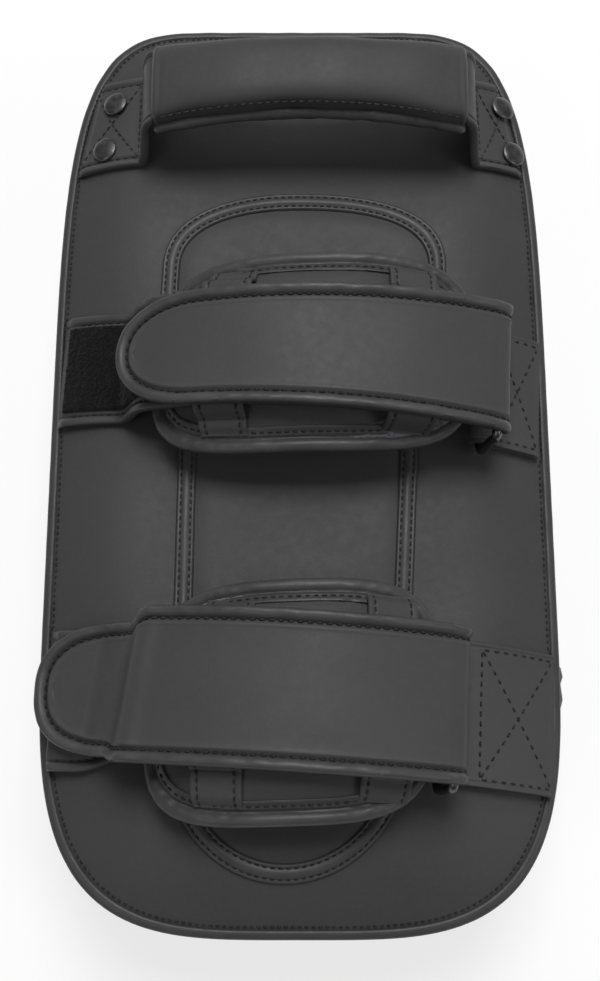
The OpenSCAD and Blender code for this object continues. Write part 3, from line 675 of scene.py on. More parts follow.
class Look(Enum):
    """The finishes of the pad."""

    LEATHER = Leather("coated_leather", (0.042, 0.042, 0.043), (0.054, 0.054, 0.055), (0.066, 0.066, 0.066))
    RIM = Leather("rolled_rim_leather", (0.03, 0.03, 0.031), (0.042, 0.042, 0.043), (0.062, 0.062, 0.062),
                  rough=0.44, depth=0.16, shine=0.26, slot=Slot.BOUND_EDGE)
    STRAP = Leather("strap_leather", (0.045, 0.045, 0.046), (0.057, 0.057, 0.058), (0.07, 0.07, 0.07),
                    grain=1300.0, depth=0.15)
    WALL = Leather("wall_leather", (0.036, 0.036, 0.037), (0.047, 0.047, 0.048), (0.06, 0.06, 0.06),
                   rough=0.48)
    THREAD = Thread("dark_thread", (0.008, 0.008, 0.008), (0.035, 0.034, 0.033))
    FADED_THREAD = Thread("faded_thread", (0.02, 0.02, 0.02), (0.05, 0.049, 0.048))
    PILE = Fuzz("loop_pile", (0.004, 0.004, 0.004), (0.026, 0.026, 0.026), scale=1700.0, slot=Slot.PILE)
    HOOKS = Fuzz("hook_tape", (0.008, 0.008, 0.008), (0.03, 0.03, 0.03), scale=1100.0, slot=Slot.HOOK)
    LINING = Cloth("woven_lining", (0.012, 0.012, 0.012), (0.03, 0.03, 0.031))
    WIRE = Metal("dark_plated_wire", (0.09, 0.09, 0.09), (0.17, 0.168, 0.164), metallic=1.0, rough=0.32)
    RIVET = Metal("black_lacquer", (0.014, 0.014, 0.015), (0.034, 0.034, 0.035),
                  metallic=0.0, rough=0.38, coat=0.3)
    WASHER = Metal("zinc_washer", (0.3, 0.3, 0.3), (0.42, 0.42, 0.42), metallic=1.0, rough=0.4)
    FIRM_FOAM = Foam("firm_foam", (0.05, 0.05, 0.055), (0.11, 0.11, 0.12), cell=700.0)
    SOFT_FOAM = Foam("soft_foam", (0.5, 0.44, 0.28), (0.68, 0.62, 0.44), cell=450.0)


class Bench:
    """Turns skins into pieces and dresses them."""

    def __init__(self) -> None:
        """Makes each material once."""
        self.materials = {look: look.value.material() for look in Look}

    def piece(self, name: str, skin: Skin, look: Look, replaced: tuple[str, ...] = (), crease: float = 55.0,
              facing: Colour | None = None) -> bpy.types.Object:
        """Makes a piece from a skin.

        Args:
            name: Name of the piece.
            skin: Its points, faces and wear.
            look: Its finish, which has the record's slot too.
            replaced: CAD nodes that it stands for.
            crease: Angle, in degrees, over which an edge stays sharp.
            facing: Direction that an open sheet faces.

        Returns:
            The new object.
        """
        mesh = bpy.data.meshes.new(name)
        mesh.from_pydata((skin.points * MM).tolist(), [], skin.faces)
        mesh.attributes.new("wear", "FLOAT", "POINT").data.foreach_set("value", skin.wear.astype(np.float32))
        work = bmesh.new()
        work.from_mesh(mesh)
        bmesh.ops.remove_doubles(work, verts=work.verts, dist=MERGE_M)
        bmesh.ops.recalc_face_normals(work, faces=work.faces)
        if facing is not None and sum(f.normal.dot(facing) * f.calc_area() for f in work.faces) < 0:
            bmesh.ops.reverse_faces(work, faces=work.faces)
        work.to_mesh(mesh)
        work.free()
        mesh.shade_smooth()
        mesh.set_sharp_from_angle(angle=math.radians(crease))
        mesh.materials.append(self.materials[look])
        made = bpy.data.objects.new(name, mesh)
        bpy.context.scene.collection.objects.link(made)
        if replaced:
            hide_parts(*replaced)
        LOG.info("%s: %d faces", name, len(mesh.polygons))
        return made

    def dress(self, node: str, look: Look) -> None:
        """Gives a carried-over CAD node a finish.

        Args:
            node: Name of the node.
            look: Its finish.
        """
        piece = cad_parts[node]
        piece.data.materials.clear()
        piece.data.materials.append(self.materials[look])
        LOG.info("%s: dressed", node)


# The pad


@dataclass(frozen=True)
class Corner:
    """Long corner of the pad's outline, with (x / width)^n + (y / length)^n = 1."""

    width: float
    length: float
    squareness: float


@dataclass(frozen=True)
class PadForm:
    """Outline and back of the pad, by the same formulas as its solids.

    The outline is a rectangle with long corners, and the back drops at its margin by
    drop * (1 - depth / margin)^2.
    """

    width: float = 207.0
    length: float = 390.0
    thick: float = 100.0
    top: Corner = Corner(72.0, 195.0, 4.1)
    low: Corner = Corner(100.0, 126.0, 3.6)
    margin: float = 40.0
    drop: float = 14.0
    seam_y: float = -57.0
    seam_inset: float = 3.3
    unevenness: float = 0.3
    uneven_length: float = 62.0
    corner_step: float = 3.0

    def depth(self, x: Array, y: Array) -> Array:
        """Depth of points inside the outline, found by halving on the family of inset outlines.

        Args:
            x: Places across the pad.
            y: Places along the pad.

        Returns:
            The depths, negative outside.
        """
        x, y = np.broadcast_arrays(np.abs(x), np.asarray(y, float))
        wide, long, n = (np.where(y > 0, getattr(self.top, k), getattr(self.low, k))
                         for k in ("width", "length", "squareness"))
        qx = np.maximum(x - self.width / 2 + wide, 0.0)
        qy = np.maximum(np.abs(y) - self.length / 2 + long, 0.0)
        shallow, deep = np.full(x.shape, -6.0), wide - 1.0
        halvings = 16
        for _ in range(halvings):
            d = (shallow + deep) / 2
            outside = (qx / (wide - d)) ** n + (qy / (long - d)) ** n > 1
            shallow, deep = np.where(outside, shallow, d), np.where(outside, d, deep)
        return (shallow + deep) / 2

    def side(self, inset: float, y: Array) -> Array:
        """Half width of the inset outline towards the handle end.

        Args:
            inset: Distance inside the outline.
            y: Places along the pad.

        Returns:
            The half widths.
        """
        top = self.top
        reach = np.maximum(np.asarray(y, float) - self.length / 2 + top.length, 0) / (top.length - inset)
        swell = np.clip(1 - reach**top.squareness, 0, 1) ** (1 / top.squareness)
        return self.width / 2 - top.width + (top.width - inset) * swell

    def back(self, x: Array, y: Array) -> Array:
        """Height of the back, with the leather's slight unevenness.

        Args:
            x: Places across the pad.
            y: Places along the pad.

        Returns:
            The heights.
        """
        inside = self.depth(x, y)
        fall = self.drop * np.maximum(0.0, 1 - inside / self.margin) ** 2
        wave = ripple(x, y, self.uneven_length, seed=5) * ramp(inside, 5.0, 26.0)
        return self.thick - fall + self.unevenness * wave

    def lay(self, x: Array, y: Array, up: Array) -> Array:
        """Points at a height square to the back.

        Args:
            x: Places across the pad.
            y: Places along the pad.
            up: Heights above the back.

        Returns:
            The points.
        """
        x, y, up = spread(x, y, up)
        dx = self.back(x + 0.5, y) - self.back(x - 0.5, y)
        dy = self.back(x, y + 0.5) - self.back(x, y - 0.5)
        normal = np.stack([-dx, -dy, np.ones_like(dx)], -1)
        normal /= np.linalg.norm(normal, axis=-1, keepdims=True)
        return np.stack([x, y, self.back(x, y)], -1) + up[..., None] * normal

    def tucked(self, points: Array) -> Array:
        """Points of a strap's left end, moved in to the edge seam where they lie beyond it."""
        beyond = np.maximum(self.seam_inset - self.depth(points[:, 0], points[:, 1]), 0) * (points[:, 0] < 0)
        return points + np.stack([beyond, 0 * beyond, 0 * beyond], -1)

    def ground(self, s: Array, middle_y: float, slant: float, half: float) -> Array:
        """Highest point of the back under a strap.

        Args:
            s: Places along the strap.
            middle_y: Where the strap crosses the pad's middle.
            slant: Its slant in degrees.
            half: Half its width.

        Returns:
            Heights.
        """
        cos, sin = math.cos(math.radians(slant)), math.sin(math.radians(slant))
        lines = [self.back(s * cos - t * sin, middle_y + s * sin + t * cos) for t in (-half, 0.0, half)]
        return np.max(lines, axis=0)

    def corner(self, sx: int, sy: int, inset: float) -> Array:
        """One corner of the inset outline, from the long side to the end, at even steps.

        Args:
            sx: Side of the pad, -1 or 1.
            sy: 1 for the handle end, -1 for the other.
            inset: Distance inside the outline.

        Returns:
            Rows of [x, y].
        """
        c = self.top if sy > 0 else self.low
        a = np.linspace(0, np.pi / 2, 2000)
        wide, long = power(np.cos(a), 2 / c.squareness), power(np.sin(a), 2 / c.squareness)
        run = np.concatenate([[0.0], np.cumsum(np.hypot(np.diff(wide) * c.width, np.diff(long) * c.length))])
        pick = np.linspace(0, run[-1], int(run[-1] / self.corner_step))
        wide, long = np.interp(pick, run, wide), np.interp(pick, run, long)
        return np.stack([sx * (self.width / 2 - c.width + (c.width - inset) * wide),
                         sy * (self.length / 2 - c.length + (c.length - inset) * long)], -1)

    def half_outline(self, sy: int, inset: float) -> Array:
        """Outline round one end, from seam to seam, turning left.

        Args:
            sy: 1 for the handle end, -1 for the other.
            inset: Distance inside the outline.

        Returns:
            Rows of [x, y].
        """
        side_count, end_count = (30, 36) if sy > 0 else (3, 10)
        first, last = self.corner(sy, sy, inset), self.corner(-sy, sy, inset)[::-1]
        rise = np.linspace(self.seam_y, first[0, 1], side_count)[:-1]
        runs = [np.stack([np.full_like(rise, first[0, 0]), rise], -1), first,
                np.linspace(first[-1], last[0], end_count)[1:-1], last,
                np.stack([np.full_like(rise, last[-1, 0]), rise[::-1]], -1)]
        return np.concatenate(runs)

    def outline(self, inset: float) -> Array:
        """Closed outline, inset from the widest one."""
        return np.concatenate([self.half_outline(1, inset)[:-1], self.half_outline(-1, inset)[:-1]])

    def to_spine(self, inset: float, shares: tuple[float, ...]) -> list[Array]:
        """Paths from an inset outline in to the pad's middle line.

        Args:
            inset: Distance inside the outline.
            shares: How far in each path lies, from 0 to 1.

        Returns:
            Rows of [x, y] for each path.
        """
        rim = self.outline(inset)
        reach = self.length / 2 - self.width / 2
        spine = np.stack([np.zeros(len(rim)), np.clip(rim[:, 1], -reach, reach)], -1)
        return [rim * (1 - u) + spine * u for u in shares]


@dataclass
class PadShell:
    """Cover of the foam block: back panel, bound edges, two lengths of side wall and strike cover."""

    bench: Bench
    form: PadForm
    back_edge_radius: float = 2.0
    front_edge_radius: float = 2.75
    back_edge_z: float = 86.6
    front_edge_z: float = 6.5
    front_round: float = 9.0
    bulge: float = 2.0
    wall_low: float = 9.0
    wall_high: float = 84.9
    wall_inset: float = 0.4
    wall_thick: float = 2.0
    wall_levels: int = 30
    wall_gather: float = 0.35
    wall_wave: float = 0.35
    seam_groove: float = 1.15
    seam_lap: float = 4.0
    face_inset: float = 5.0
    face_stitch_inset: float = 6.4
    face_stitch_z: float = 3.3
    gather_length: float = 11.0
    edge_gather: float = 0.12
    edge_lean: float = 0.28
    stitch_inset: float = 4.9
    lap_rise: float = 1.7
    # Strap ends in the edge seam: side, middle and half width of each
    laps: tuple[tuple[int, float, float], ...] = (
        (-1, 30.4, 24.0), (-1, -105.0, 27.5), (1, 18.6, 25.0), (1, -113.6, 27.5),
        (-1, 143.0, 22.0), (1, 143.0, 22.0))
    # Puckers of the lower wall: middle, half length and height of each
    pucker_lobes: tuple[tuple[float, float, float], ...] = (
        (-93.0, 5.0, 4.4), (-102.0, 6.0, 4.4), (-118.0, 12.0, 3.4), (-136.0, 4.5, 3.6))

    def run(self, inset: float) -> Array:
        """Distance round the closed outline at each of its points."""
        return run_of(self.form.outline(inset))

    def gathers(self, run: Array, seed: int) -> Array:
        """Small gathers along a seam, of about -1 to 1."""
        return ripple(run, 0.0, self.gather_length, seed)

    def build(self) -> None:
        """Makes the whole cover."""
        self.back_panel()
        self.bound_edge("back_edge_roll", "back_edge_binding", self.back_edge_z, self.back_edge_radius)
        self.bound_edge("front_edge_roll", "front_edge_binding", self.front_edge_z, self.front_edge_radius)
        self.side_wall("upper_wall", "upper_side_wall", 1)
        self.side_wall("lower_wall", "lower_side_wall", -1)
        self.strike_face()
        self.seams()
        self.bench.dress("impact_foam", Look.FIRM_FOAM)
        self.bench.dress("core_foam", Look.SOFT_FOAM)
        self.bench.dress("base_foam", Look.FIRM_FOAM)

    def back_panel(self) -> None:
        """Back: rows follow the inset outline, z = back(x, y) with a dip and gathers at the seam."""
        insets = np.array([3.0, 3.4, 3.9, 4.5, 5.3, 6.3, 7.6, 9.2, 11.2, 13.8, 17.0, 21.0, 26.0, 32.0, 38.0, 44.0])
        gather = self.gathers(self.run(5.0), 21)
        rows = []
        for inset in insets:
            path = self.form.outline(inset)
            z = self.form.back(*path.T)
            dip = math.exp(-(inset - insets[0]) / 0.5)
            z = z - dip + 0.2 * gather * math.exp(-(inset - 3.5) / 6.0)
            rows.append(np.column_stack([path, z]))
        for path in self.form.to_spine(insets[-1], (0.15, 0.32, 0.5, 0.68, 0.85, 1.0)):
            rows.append(np.column_stack([path, self.form.back(*path.T)]))
        skin = Skin.grid(np.stack(rows), wrap_cols=True)
        made = self.bench.piece("back_cover", skin, Look.LEATHER, ("back_panel",), facing=(0, 0, 1))
        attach(made, "pad")

    def bound_edge(self, name: str, node: str, z: float, radius: float) -> None:
        """Rolled edge: a squarish leaning loop carried round the outline, slightly gathered by its seam.

        Args:
            name: Name of the piece.
            node: CAD node that it stands for.
            z: Height of its middle.
            radius: Half its width.
        """
        turn = np.linspace(0, 2 * np.pi, 20, endpoint=False)
        gather = self.gathers(self.run(2.6), 11)
        outward = 1 if z > self.form.thick / 2 else -1
        rows = []
        for a in turn:
            inset = radius * (1 + float(power(np.cos(a), 0.8))) - 0.1
            lean = self.edge_lean * (inset - radius) * outward
            height = z + lean + radius * power(np.sin(a), 0.8) + self.edge_gather * gather
            rows.append(np.column_stack([self.form.outline(inset), height]))
        wear = np.clip(np.sin(turn) * outward, 0, 1)[:, None] * 0.4
        skin = Skin.grid(np.stack(rows), wrap_rows=True, wrap_cols=True, wear=wear)
        made = self.bench.piece(name, skin, Look.RIM, (node,))
        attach(made, "pad")

    def side_wall(self, name: str, node: str, sy: int) -> None:
        """Side wall: inset = bulge * (1 - sin) over its height, gathered at both seams.

        Args:
            name: Name of the piece.
            node: CAD node that it stands for.
            sy: 1 for the handle end, -1 for the other.
        """
        height = np.linspace(0, 1, self.wall_levels)
        path_run = run_of(self.form.half_outline(sy, self.bulge))
        lap = np.minimum(path_run, path_run[-1] - path_run)
        close = np.exp(-height / 0.1)[:, None] + np.exp(-(1 - height) / 0.1)[:, None]
        gather = self.gathers(path_run, 31 + sy)
        bend = ripple(path_run, height[:, None] * 75, length=58.0, seed=41)
        inset = (self.bulge * (1 - np.sin(np.pi * height))[:, None] + self.wall_gather * gather * close
                 + self.wall_wave * bend + self.wall_inset)
        inset = inset + self.seam_groove * np.exp(-lap / 1.2) - 0.5 * bump(lap, self.seam_lap, 2.4)
        if sy < 0:
            inset = inset - self.puckers(height)
        z = self.wall_low + (self.wall_high - self.wall_low) * height
        rows = [self.row(sy, inset[k], z[k]) for k in range(self.wall_levels)]
        inner = (self.wall_levels - 1, self.wall_levels // 2, 0)
        rows += [self.row(sy, inset[k] + self.wall_thick, z[k]) for k in inner]
        skin = Skin.grid(np.stack(rows), wrap_rows=True)
        skin.faces += [[j * len(path_run) + c for j in range(len(rows))] for c in (0, len(path_run) - 1)]
        made = self.bench.piece(name, skin, Look.WALL, (node,))
        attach(made, "pad")

    def row(self, sy: int, inset: Array, z: float) -> Array:
        """One level of the side wall, with its own inset at each point.

        Args:
            sy: 1 for the handle end, -1 for the other.
            inset: Distances inside the outline.
            z: Height of the level.

        Returns:
            The points.
        """
        deep = 4.0
        outer, inner = self.form.half_outline(sy, 0.0), self.form.half_outline(sy, deep)
        path = outer + (inner - outer) * (inset / deep)[:, None]
        return np.column_stack([path, np.full(len(path), z)])

    def puckers(self, height: Array) -> Array:
        """Outward puckers of the lower wall beside the ring anchor, just under the back's seam.

        Args:
            height: Levels of the wall, from 0 to 1.

        Returns:
            How far each point moves out, by level and place.
        """
        path = self.form.half_outline(-1, self.bulge)
        right = path[:, 0] > 0
        lobes = np.zeros(len(path))
        for y, half, swell in self.pucker_lobes:
            lobes = np.maximum(lobes, swell * np.sqrt(np.clip(1 - ((path[:, 1] - y) / half) ** 2, 0, 1)))
        return lobes * right * bump(height, 0.9, 0.09)[:, None]

    def strike_face(self) -> None:
        """Strike cover: a quarter ellipse round its edge and a flat face to the middle."""
        rows = []
        for a in np.linspace(0, np.pi / 2, 9):
            path = self.form.outline(self.face_inset + self.front_round * (1 - math.cos(a)))
            rows.append(np.column_stack([path, np.full(len(path), self.front_edge_z * (1 - math.sin(a)))]))
        shares = (0.1, 0.25, 0.45, 0.65, 0.85, 1.0)
        for u, path in zip(shares, self.form.to_spine(self.face_inset + self.front_round, shares)):
            dish = 0.25 * (1 + ripple(*path.T, length=70.0, seed=8)) * ramp(u, 0.0, 0.3)
            rows.append(np.column_stack([path, np.clip(dish, 0, 0.6)]))
        skin = Skin.grid(np.stack(rows), wrap_cols=True)
        made = self.bench.piece("strike_face_cover", skin, Look.LEATHER, ("strike_cover",), facing=(0, 0, -1))
        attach(made, "pad")

    def lapped(self, path: Array) -> Array:
        """Height of the edge seam, which climbs over the strap ends that it holds.

        Args:
            path: Rows of [x, y] along the seam.

        Returns:
            The heights.
        """
        up = np.zeros(len(path))
        for side, middle, half in self.laps:
            near = ramp(half + 2 - np.abs(path[:, 1] - middle), 0, 2.5) * (path[:, 0] * side > 60)
            up = np.maximum(up, self.lap_rise * near)
        return up

    def seams(self) -> None:
        """Topstitching round the back, round the strike face and beside the wall's joining seams."""
        path = closed(self.form.outline(self.stitch_inset))
        rows = [stitch_row(self.form.lay, *path.T, self.lapped(path))]
        low = closed(self.form.outline(self.face_stitch_inset))
        low = np.column_stack([low, np.full(len(low), self.face_stitch_z)])
        rows.append((low, np.tile([0.0, 0.0, -1.0], (len(low), 1))))
        z = np.linspace(self.wall_low + 4, self.wall_high - 4, 40)
        inset = self.bulge * (1 - np.sin(np.pi * (z - self.wall_low) / (self.wall_high - self.wall_low)))
        for side in (-1, 1):
            for lap in (-self.seam_lap, self.seam_lap):
                x = side * (self.form.width / 2 - inset + 0.1)
                line = np.column_stack([x, np.full_like(z, self.form.seam_y + lap), z])
                rows.append((line, np.tile([float(side), 0.0, 0.0], (len(z), 1))))
        threads = stitches(rows, pitch=2.6, length=2.0, radius=0.42)
        made = self.bench.piece("pad_stitching", threads, Look.THREAD)
        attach(made, "pad")


@dataclass
class CentrePanel:
    """Keyhole-shaped panel on the back, with a tape sewn round it in two rows."""

    bench: Bench
    form: PadForm
    top_y: float = 108.0
    foot_y: float = -174.0
    lobe_half: float = 59.5
    channel_half: float = 48.5
    foot_half: float = 45.5
    slant: float = 0.0314
    pivot: float = 18.0
    arch: float = 34.0
    neck_drop: float = 10.0
    neck: float = 70.0
    roundness: float = 2.4
    tape: float = 7.4
    tape_thick: float = 1.35
    tape_stitch: float = 1.7
    inner: float = 30.0
    lift: float = 0.35

    def leaned(self, path: Array) -> Array:
        """Points moved sideways by the panel's slant."""
        return path + np.stack([self.slant * (path[:, 1] - self.pivot), np.zeros(len(path))], -1)

    def outline(self, inset: float) -> Array:
        """Closed keyhole outline: an arch x^2.4 + y^2.4, a smooth neck, a tapering channel and a half circle.

        Args:
            inset: Distance inside the panel's edge.

        Returns:
            Rows of [x, y].
        """
        wide, slim, foot = (v - inset for v in (self.lobe_half, self.channel_half, self.foot_half))
        arch_y = self.top_y - self.arch
        neck_y, channel_y = arch_y - self.neck_drop, arch_y - self.neck_drop - self.neck
        foot_y = self.foot_y + self.foot_half
        a = np.linspace(np.pi / 2, 0, 44)
        bend = 2 / self.roundness
        arch = np.stack([wide * power(np.cos(a), bend), arch_y + (self.arch - inset) * power(np.sin(a), bend)], -1)
        y = np.linspace(arch_y, foot_y, 84)[1:-1]
        side = wide + (slim - wide) * ramp(-y, -neck_y, -channel_y)
        side = side + (foot - slim) * np.clip((channel_y - y) / (channel_y - foot_y), 0, 1)
        b = np.linspace(0, -np.pi / 2, 40)
        end = np.stack([foot * np.cos(b), foot_y + foot * np.sin(b)], -1)
        half = np.concatenate([arch, np.stack([side, y], -1), end])
        return self.leaned(np.concatenate([half[::-1], (half * [-1, 1])[1:-1]]))

    def build(self) -> None:
        """Makes panel, tape and stitching."""
        self.panel()
        self.sewn_tape()
        rows = []
        for inset in (self.tape_stitch, self.tape - self.tape_stitch):
            path = closed(self.outline(inset))
            rows.append(stitch_row(self.form.lay, *path.T, self.lift + 1.25))
        threads = stitches(rows, pitch=3.0, length=2.3, radius=0.4)
        made = self.bench.piece("panel_stitching", threads, Look.THREAD)
        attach(made, "pad")

    def panel(self) -> None:
        """Panel: rows from the tape to its middle line, slightly full inside the tape."""
        rows = []
        for inset in (*(self.tape + d for d in (-1.5, -0.4, 0.8, 2.5, 6, 12)), self.inner):
            path = self.outline(inset)
            up = self.lift + 0.25 + 0.9 * ramp(inset, self.tape - 0.5, self.tape + 4)
            rows.append(self.form.lay(*path.T, up))
        rim = self.outline(self.inner)
        spine = self.leaned(np.stack([np.zeros(len(rim)), np.clip(rim[:, 1], self.foot_y + 60, self.top_y - 45)], -1))
        for u in (0.3, 0.65, 1.0):
            path = rim * (1 - u) + spine * u
            rows.append(self.form.lay(*path.T, self.lift + 1.15))
        skin = Skin.grid(np.stack(rows), wrap_cols=True)
        made = self.bench.piece("keyhole_panel", skin, Look.LEATHER, ("centre_panel",), facing=(0, 0, 1))
        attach(made, "pad")

    def sewn_tape(self) -> None:
        """Tape: a low profile with two rounded edges and two stitch grooves, carried round the keyhole."""
        share = np.array([[-0.02, 0.0], [0.0, 0.5], [0.06, 1.0], [0.13, 1.15], [0.2, 0.92], [0.25, 0.9], [0.33, 1.25],
                          [0.5, 1.45], [0.67, 1.25], [0.75, 0.9], [0.8, 0.92], [0.87, 1.15], [0.94, 1.0], [1.0, 0.5],
                          [1.02, 0.0]])
        rows = []
        for across, height in share:
            path = self.outline(across * self.tape)
            rows.append(self.form.lay(*path.T, self.lift + self.tape_thick * height))
        wear = np.where(share[:, 1] > 1.1, 0.7, 0.1)[:, None]
        skin = Skin.grid(np.stack(rows), wrap_rows=True, wrap_cols=True, wear=wear)
        made = self.bench.piece("keyhole_tape", skin, Look.RIM, ("centre_panel_tape",))
        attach(made, "pad")


# The handle


@dataclass
class Handle:
    """Grip handle: a strap from seam to seam that rises through a padded grip, held by four rivets."""

    bench: Bench
    form: PadForm
    middle_y: float = 143.0
    middle_x: float = 4.0
    half: float = 22.0
    half_rise: float = 16.8
    half_inside: float = 10.0
    thick: float = 3.0
    roll: float = 3.6
    proud: float = 0.7
    tab_foot: float = 71.5
    tab_inset: float = 4.6
    rise: float = 7.0
    grip_half: float = 64.5
    grip_width: float = 34.0
    grip_thick: float = 19.0
    grip_height: float = 38.0
    sag: float = 10.0
    hem: float = 3.2
    lip: float = 2.5
    lip_deg: float = 197.0
    grip_stitch_deg: float = 168.0
    lift: float = 0.35

    def grip_z(self, x: Array) -> Array:
        """Height of the grip's middle at a distance from the handle's middle."""
        return self.form.thick + self.grip_height - self.sag * (np.asarray(x) / self.grip_half) ** 2

    def path(self) -> Array:
        """Lower face of the strap, from the left seam over the grip to the right seam.

        Returns:
            Rows of [x, z].
        """
        sides = []
        for side in (-1, 1):
            end = side * float(self.form.side(self.tab_inset, self.middle_y))
            foot = side * self.tab_foot + self.middle_x
            top = foot - side * (self.rise + 2)
            x = np.linspace(end, foot, 16)[:-1]
            tab = np.stack([x, self.form.back(x, self.middle_y) + self.lift], -1)
            z = float(self.form.back(foot, self.middle_y)) + self.lift
            high = float(self.grip_z(top - self.middle_x)) - self.thick / 2
            curve = bezier((foot, z), (foot - side * 5.5, z + 0.3), (foot - side * 2.0, high - 2), (top, high), 26)
            sides.append((np.concatenate([tab, curve]), top))
        x = np.linspace(sides[0][1], sides[1][1], 40)
        over = np.stack([x, self.grip_z(x - self.middle_x) - self.thick / 2], -1)
        return np.concatenate([sides[0][0], over, sides[1][0][::-1]])

    def place(self, along: Array, across: Array, up: Array) -> Array:
        """Places on the strap, which narrows as it rises; its tabs lie on the back and end along the pad's edge.

        Args:
            along: Distances along the strap.
            across: Distances from its middle line, for the width of the tabs.
            up: Heights above its lower face.

        Returns:
            The points.
        """
        along, across, up = spread(along, across, up)
        x, z = (np.interp(along, self.track.run, self.track.points[:, k]) for k in (0, 1))
        height = z - self.form.back(x, self.middle_y)
        inside = ramp(self.grip_half - np.abs(x - self.middle_x), 0.5, 5.0)
        half = self.half + (self.half_rise - self.half) * ramp(height, 3.0, 24.0)
        half = half + (self.half_inside - half) * inside
        end = np.minimum(along, self.track.length - along)
        points = self.track.place(along, across * half / self.half, up * (0.35 + 0.65 * ramp(end, 0.0, 4.5)))
        x, y = points[..., 0].copy(), points[..., 1]
        side = np.sign(x - self.middle_x)
        foot = self.middle_x + side * self.tab_foot
        stretch = (self.form.side(self.tab_inset, y) * side - foot) / (
            float(self.form.side(self.tab_inset, self.middle_y)) * side - foot)
        points[..., 0] = np.where((x - foot) * side > 0, foot + (x - foot) * stretch, x)
        seat = self.form.back(points[..., 0], y) - self.form.back(x, self.middle_y)
        points[..., 2] += seat * (1 - ramp(height, 2.0, 14.0))
        return points

    def build(self) -> None:
        """Makes strap, grip and stitching, and dresses the rivets."""
        self.track = Track(self.path(), self.middle_y)
        self.strap()
        self.grip()
        self.seams()
        self.bench.dress("handle_rivets", Look.RIVET)
        self.bench.dress("rivet_washers", Look.WASHER)
        self.bench.dress("grip_foam", Look.FIRM_FOAM)

    def strap(self) -> None:
        """Strap: the border profile on both edges, carried along its path."""
        loop = hemmed(border(self.thick, self.roll, self.proud), self.half)
        along = np.linspace(0, self.track.length, 200)
        points = self.place(along[:, None], *loop.T)
        wear = np.where(loop[:, 1] > self.thick + 0.3, 0.8, 0.1)[None, :]
        skin = Skin.grid(points, wrap_cols=True, caps=True, wear=wear)
        made = self.bench.piece("grip_strap", skin, Look.STRAP, ("handle_strap",))
        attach(made, "pad")

    def section(self, x: Array, turn: Array, grow: Array) -> Array:
        """Points of the grip's superellipse section of power 2.5, slimmer in its middle and flatter in front.

        Args:
            x: Distances from the handle's middle.
            turn: Angles round the section.
            grow: How far the skin stands off the plain section.

        Returns:
            The points.
        """
        full = 1 - 0.08 * (np.abs(x) / self.grip_half) ** 6
        wide = 0.88 + 0.12 * (x / self.grip_half) ** 2
        y = self.middle_y + (self.grip_width / 2 * wide + grow) * power(np.cos(turn), 0.8)
        slope = np.where((np.cos(turn) < 0) & (np.sin(turn) > 0), 0.55, 0.8)
        z = self.grip_z(x) + (self.grip_thick / 2 * full + grow) * power(np.sin(turn), slope)
        return np.stack(np.broadcast_arrays(x + self.middle_x, y, z), -1)

    def grip(self) -> None:
        """Grip cover: its section along the strap with hemmed ends, and the rolled seam under its front."""
        x = np.linspace(-1, 1, 130) * self.grip_half
        gap = self.grip_half - np.abs(x)
        hem = 0.3 * bump(gap, 1.5, 0.9) - 0.25 * bump(gap, self.hem, 0.8) - 1.4 * bump(gap, 0, 0.8)
        turn = np.linspace(0, 2 * np.pi, 72, endpoint=False)[None, :]
        crease = 0.35 * ripple(x[:, None], 14 * turn, length=34.0, seed=61)
        points = self.section(x[:, None], turn, hem[:, None] + crease * ramp(gap, 4, 12)[:, None])
        skin = Skin.grid(points, wrap_cols=True, caps=True, wear=0.4 * (hem[:, None] > 0.1))
        made = self.bench.piece("grip_padding", skin, Look.LEATHER, ("grip_cover",))
        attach(made, "pad")
        ring = np.linspace(0, 2 * np.pi, 12, endpoint=False)[None, :]
        run = np.linspace(-1, 1, 90)[:, None] * (self.grip_half - 0.4)
        round_end = np.sqrt(np.clip((self.grip_half - np.abs(run)) / 2.0, 0.03, 1))
        middle = self.section(run, np.radians(self.lip_deg), 1.0)
        swell = round_end * (1 + 0.06 * ripple(run, 0.0, length=9.0, seed=63))
        roll = middle + self.lip * swell[..., None] * np.stack([0 * ring, np.cos(ring), np.sin(ring)], -1)
        skin = Skin.grid(roll, wrap_cols=True, caps=True, wear=0.5)
        seam = self.bench.piece("grip_seam_roll", skin, Look.RIM)
        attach(seam, "pad")

    def seams(self) -> None:
        """Edge rows and a crossed box on each tab, and a row above the grip's rolled seam."""
        inset = self.half - self.roll * 1.06
        up = self.thick - 0.25
        left, right = (self.track.at(v * self.tab_foot + self.middle_x) for v in (-1, 1))
        rows = []
        for start, end in ((1.5, left - 1), (self.track.length - 1.5, right + 1)):
            rows += crossed_box(self.place, np.linspace(start, end, 30), np.full(20, end), inset, up, up + 0.25)
        x = np.linspace(-1, 1, 80) * (self.grip_half - 3)
        low, high = (self.section(x, np.radians(self.grip_stitch_deg), grow) for grow in (0.35, 1.35))
        rows.append((low, high - low))
        threads = stitches(rows, pitch=3.4, length=2.6, radius=0.36)
        made = self.bench.piece("handle_stitching", threads, Look.FADED_THREAD)
        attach(made, "pad")


# The forearm straps


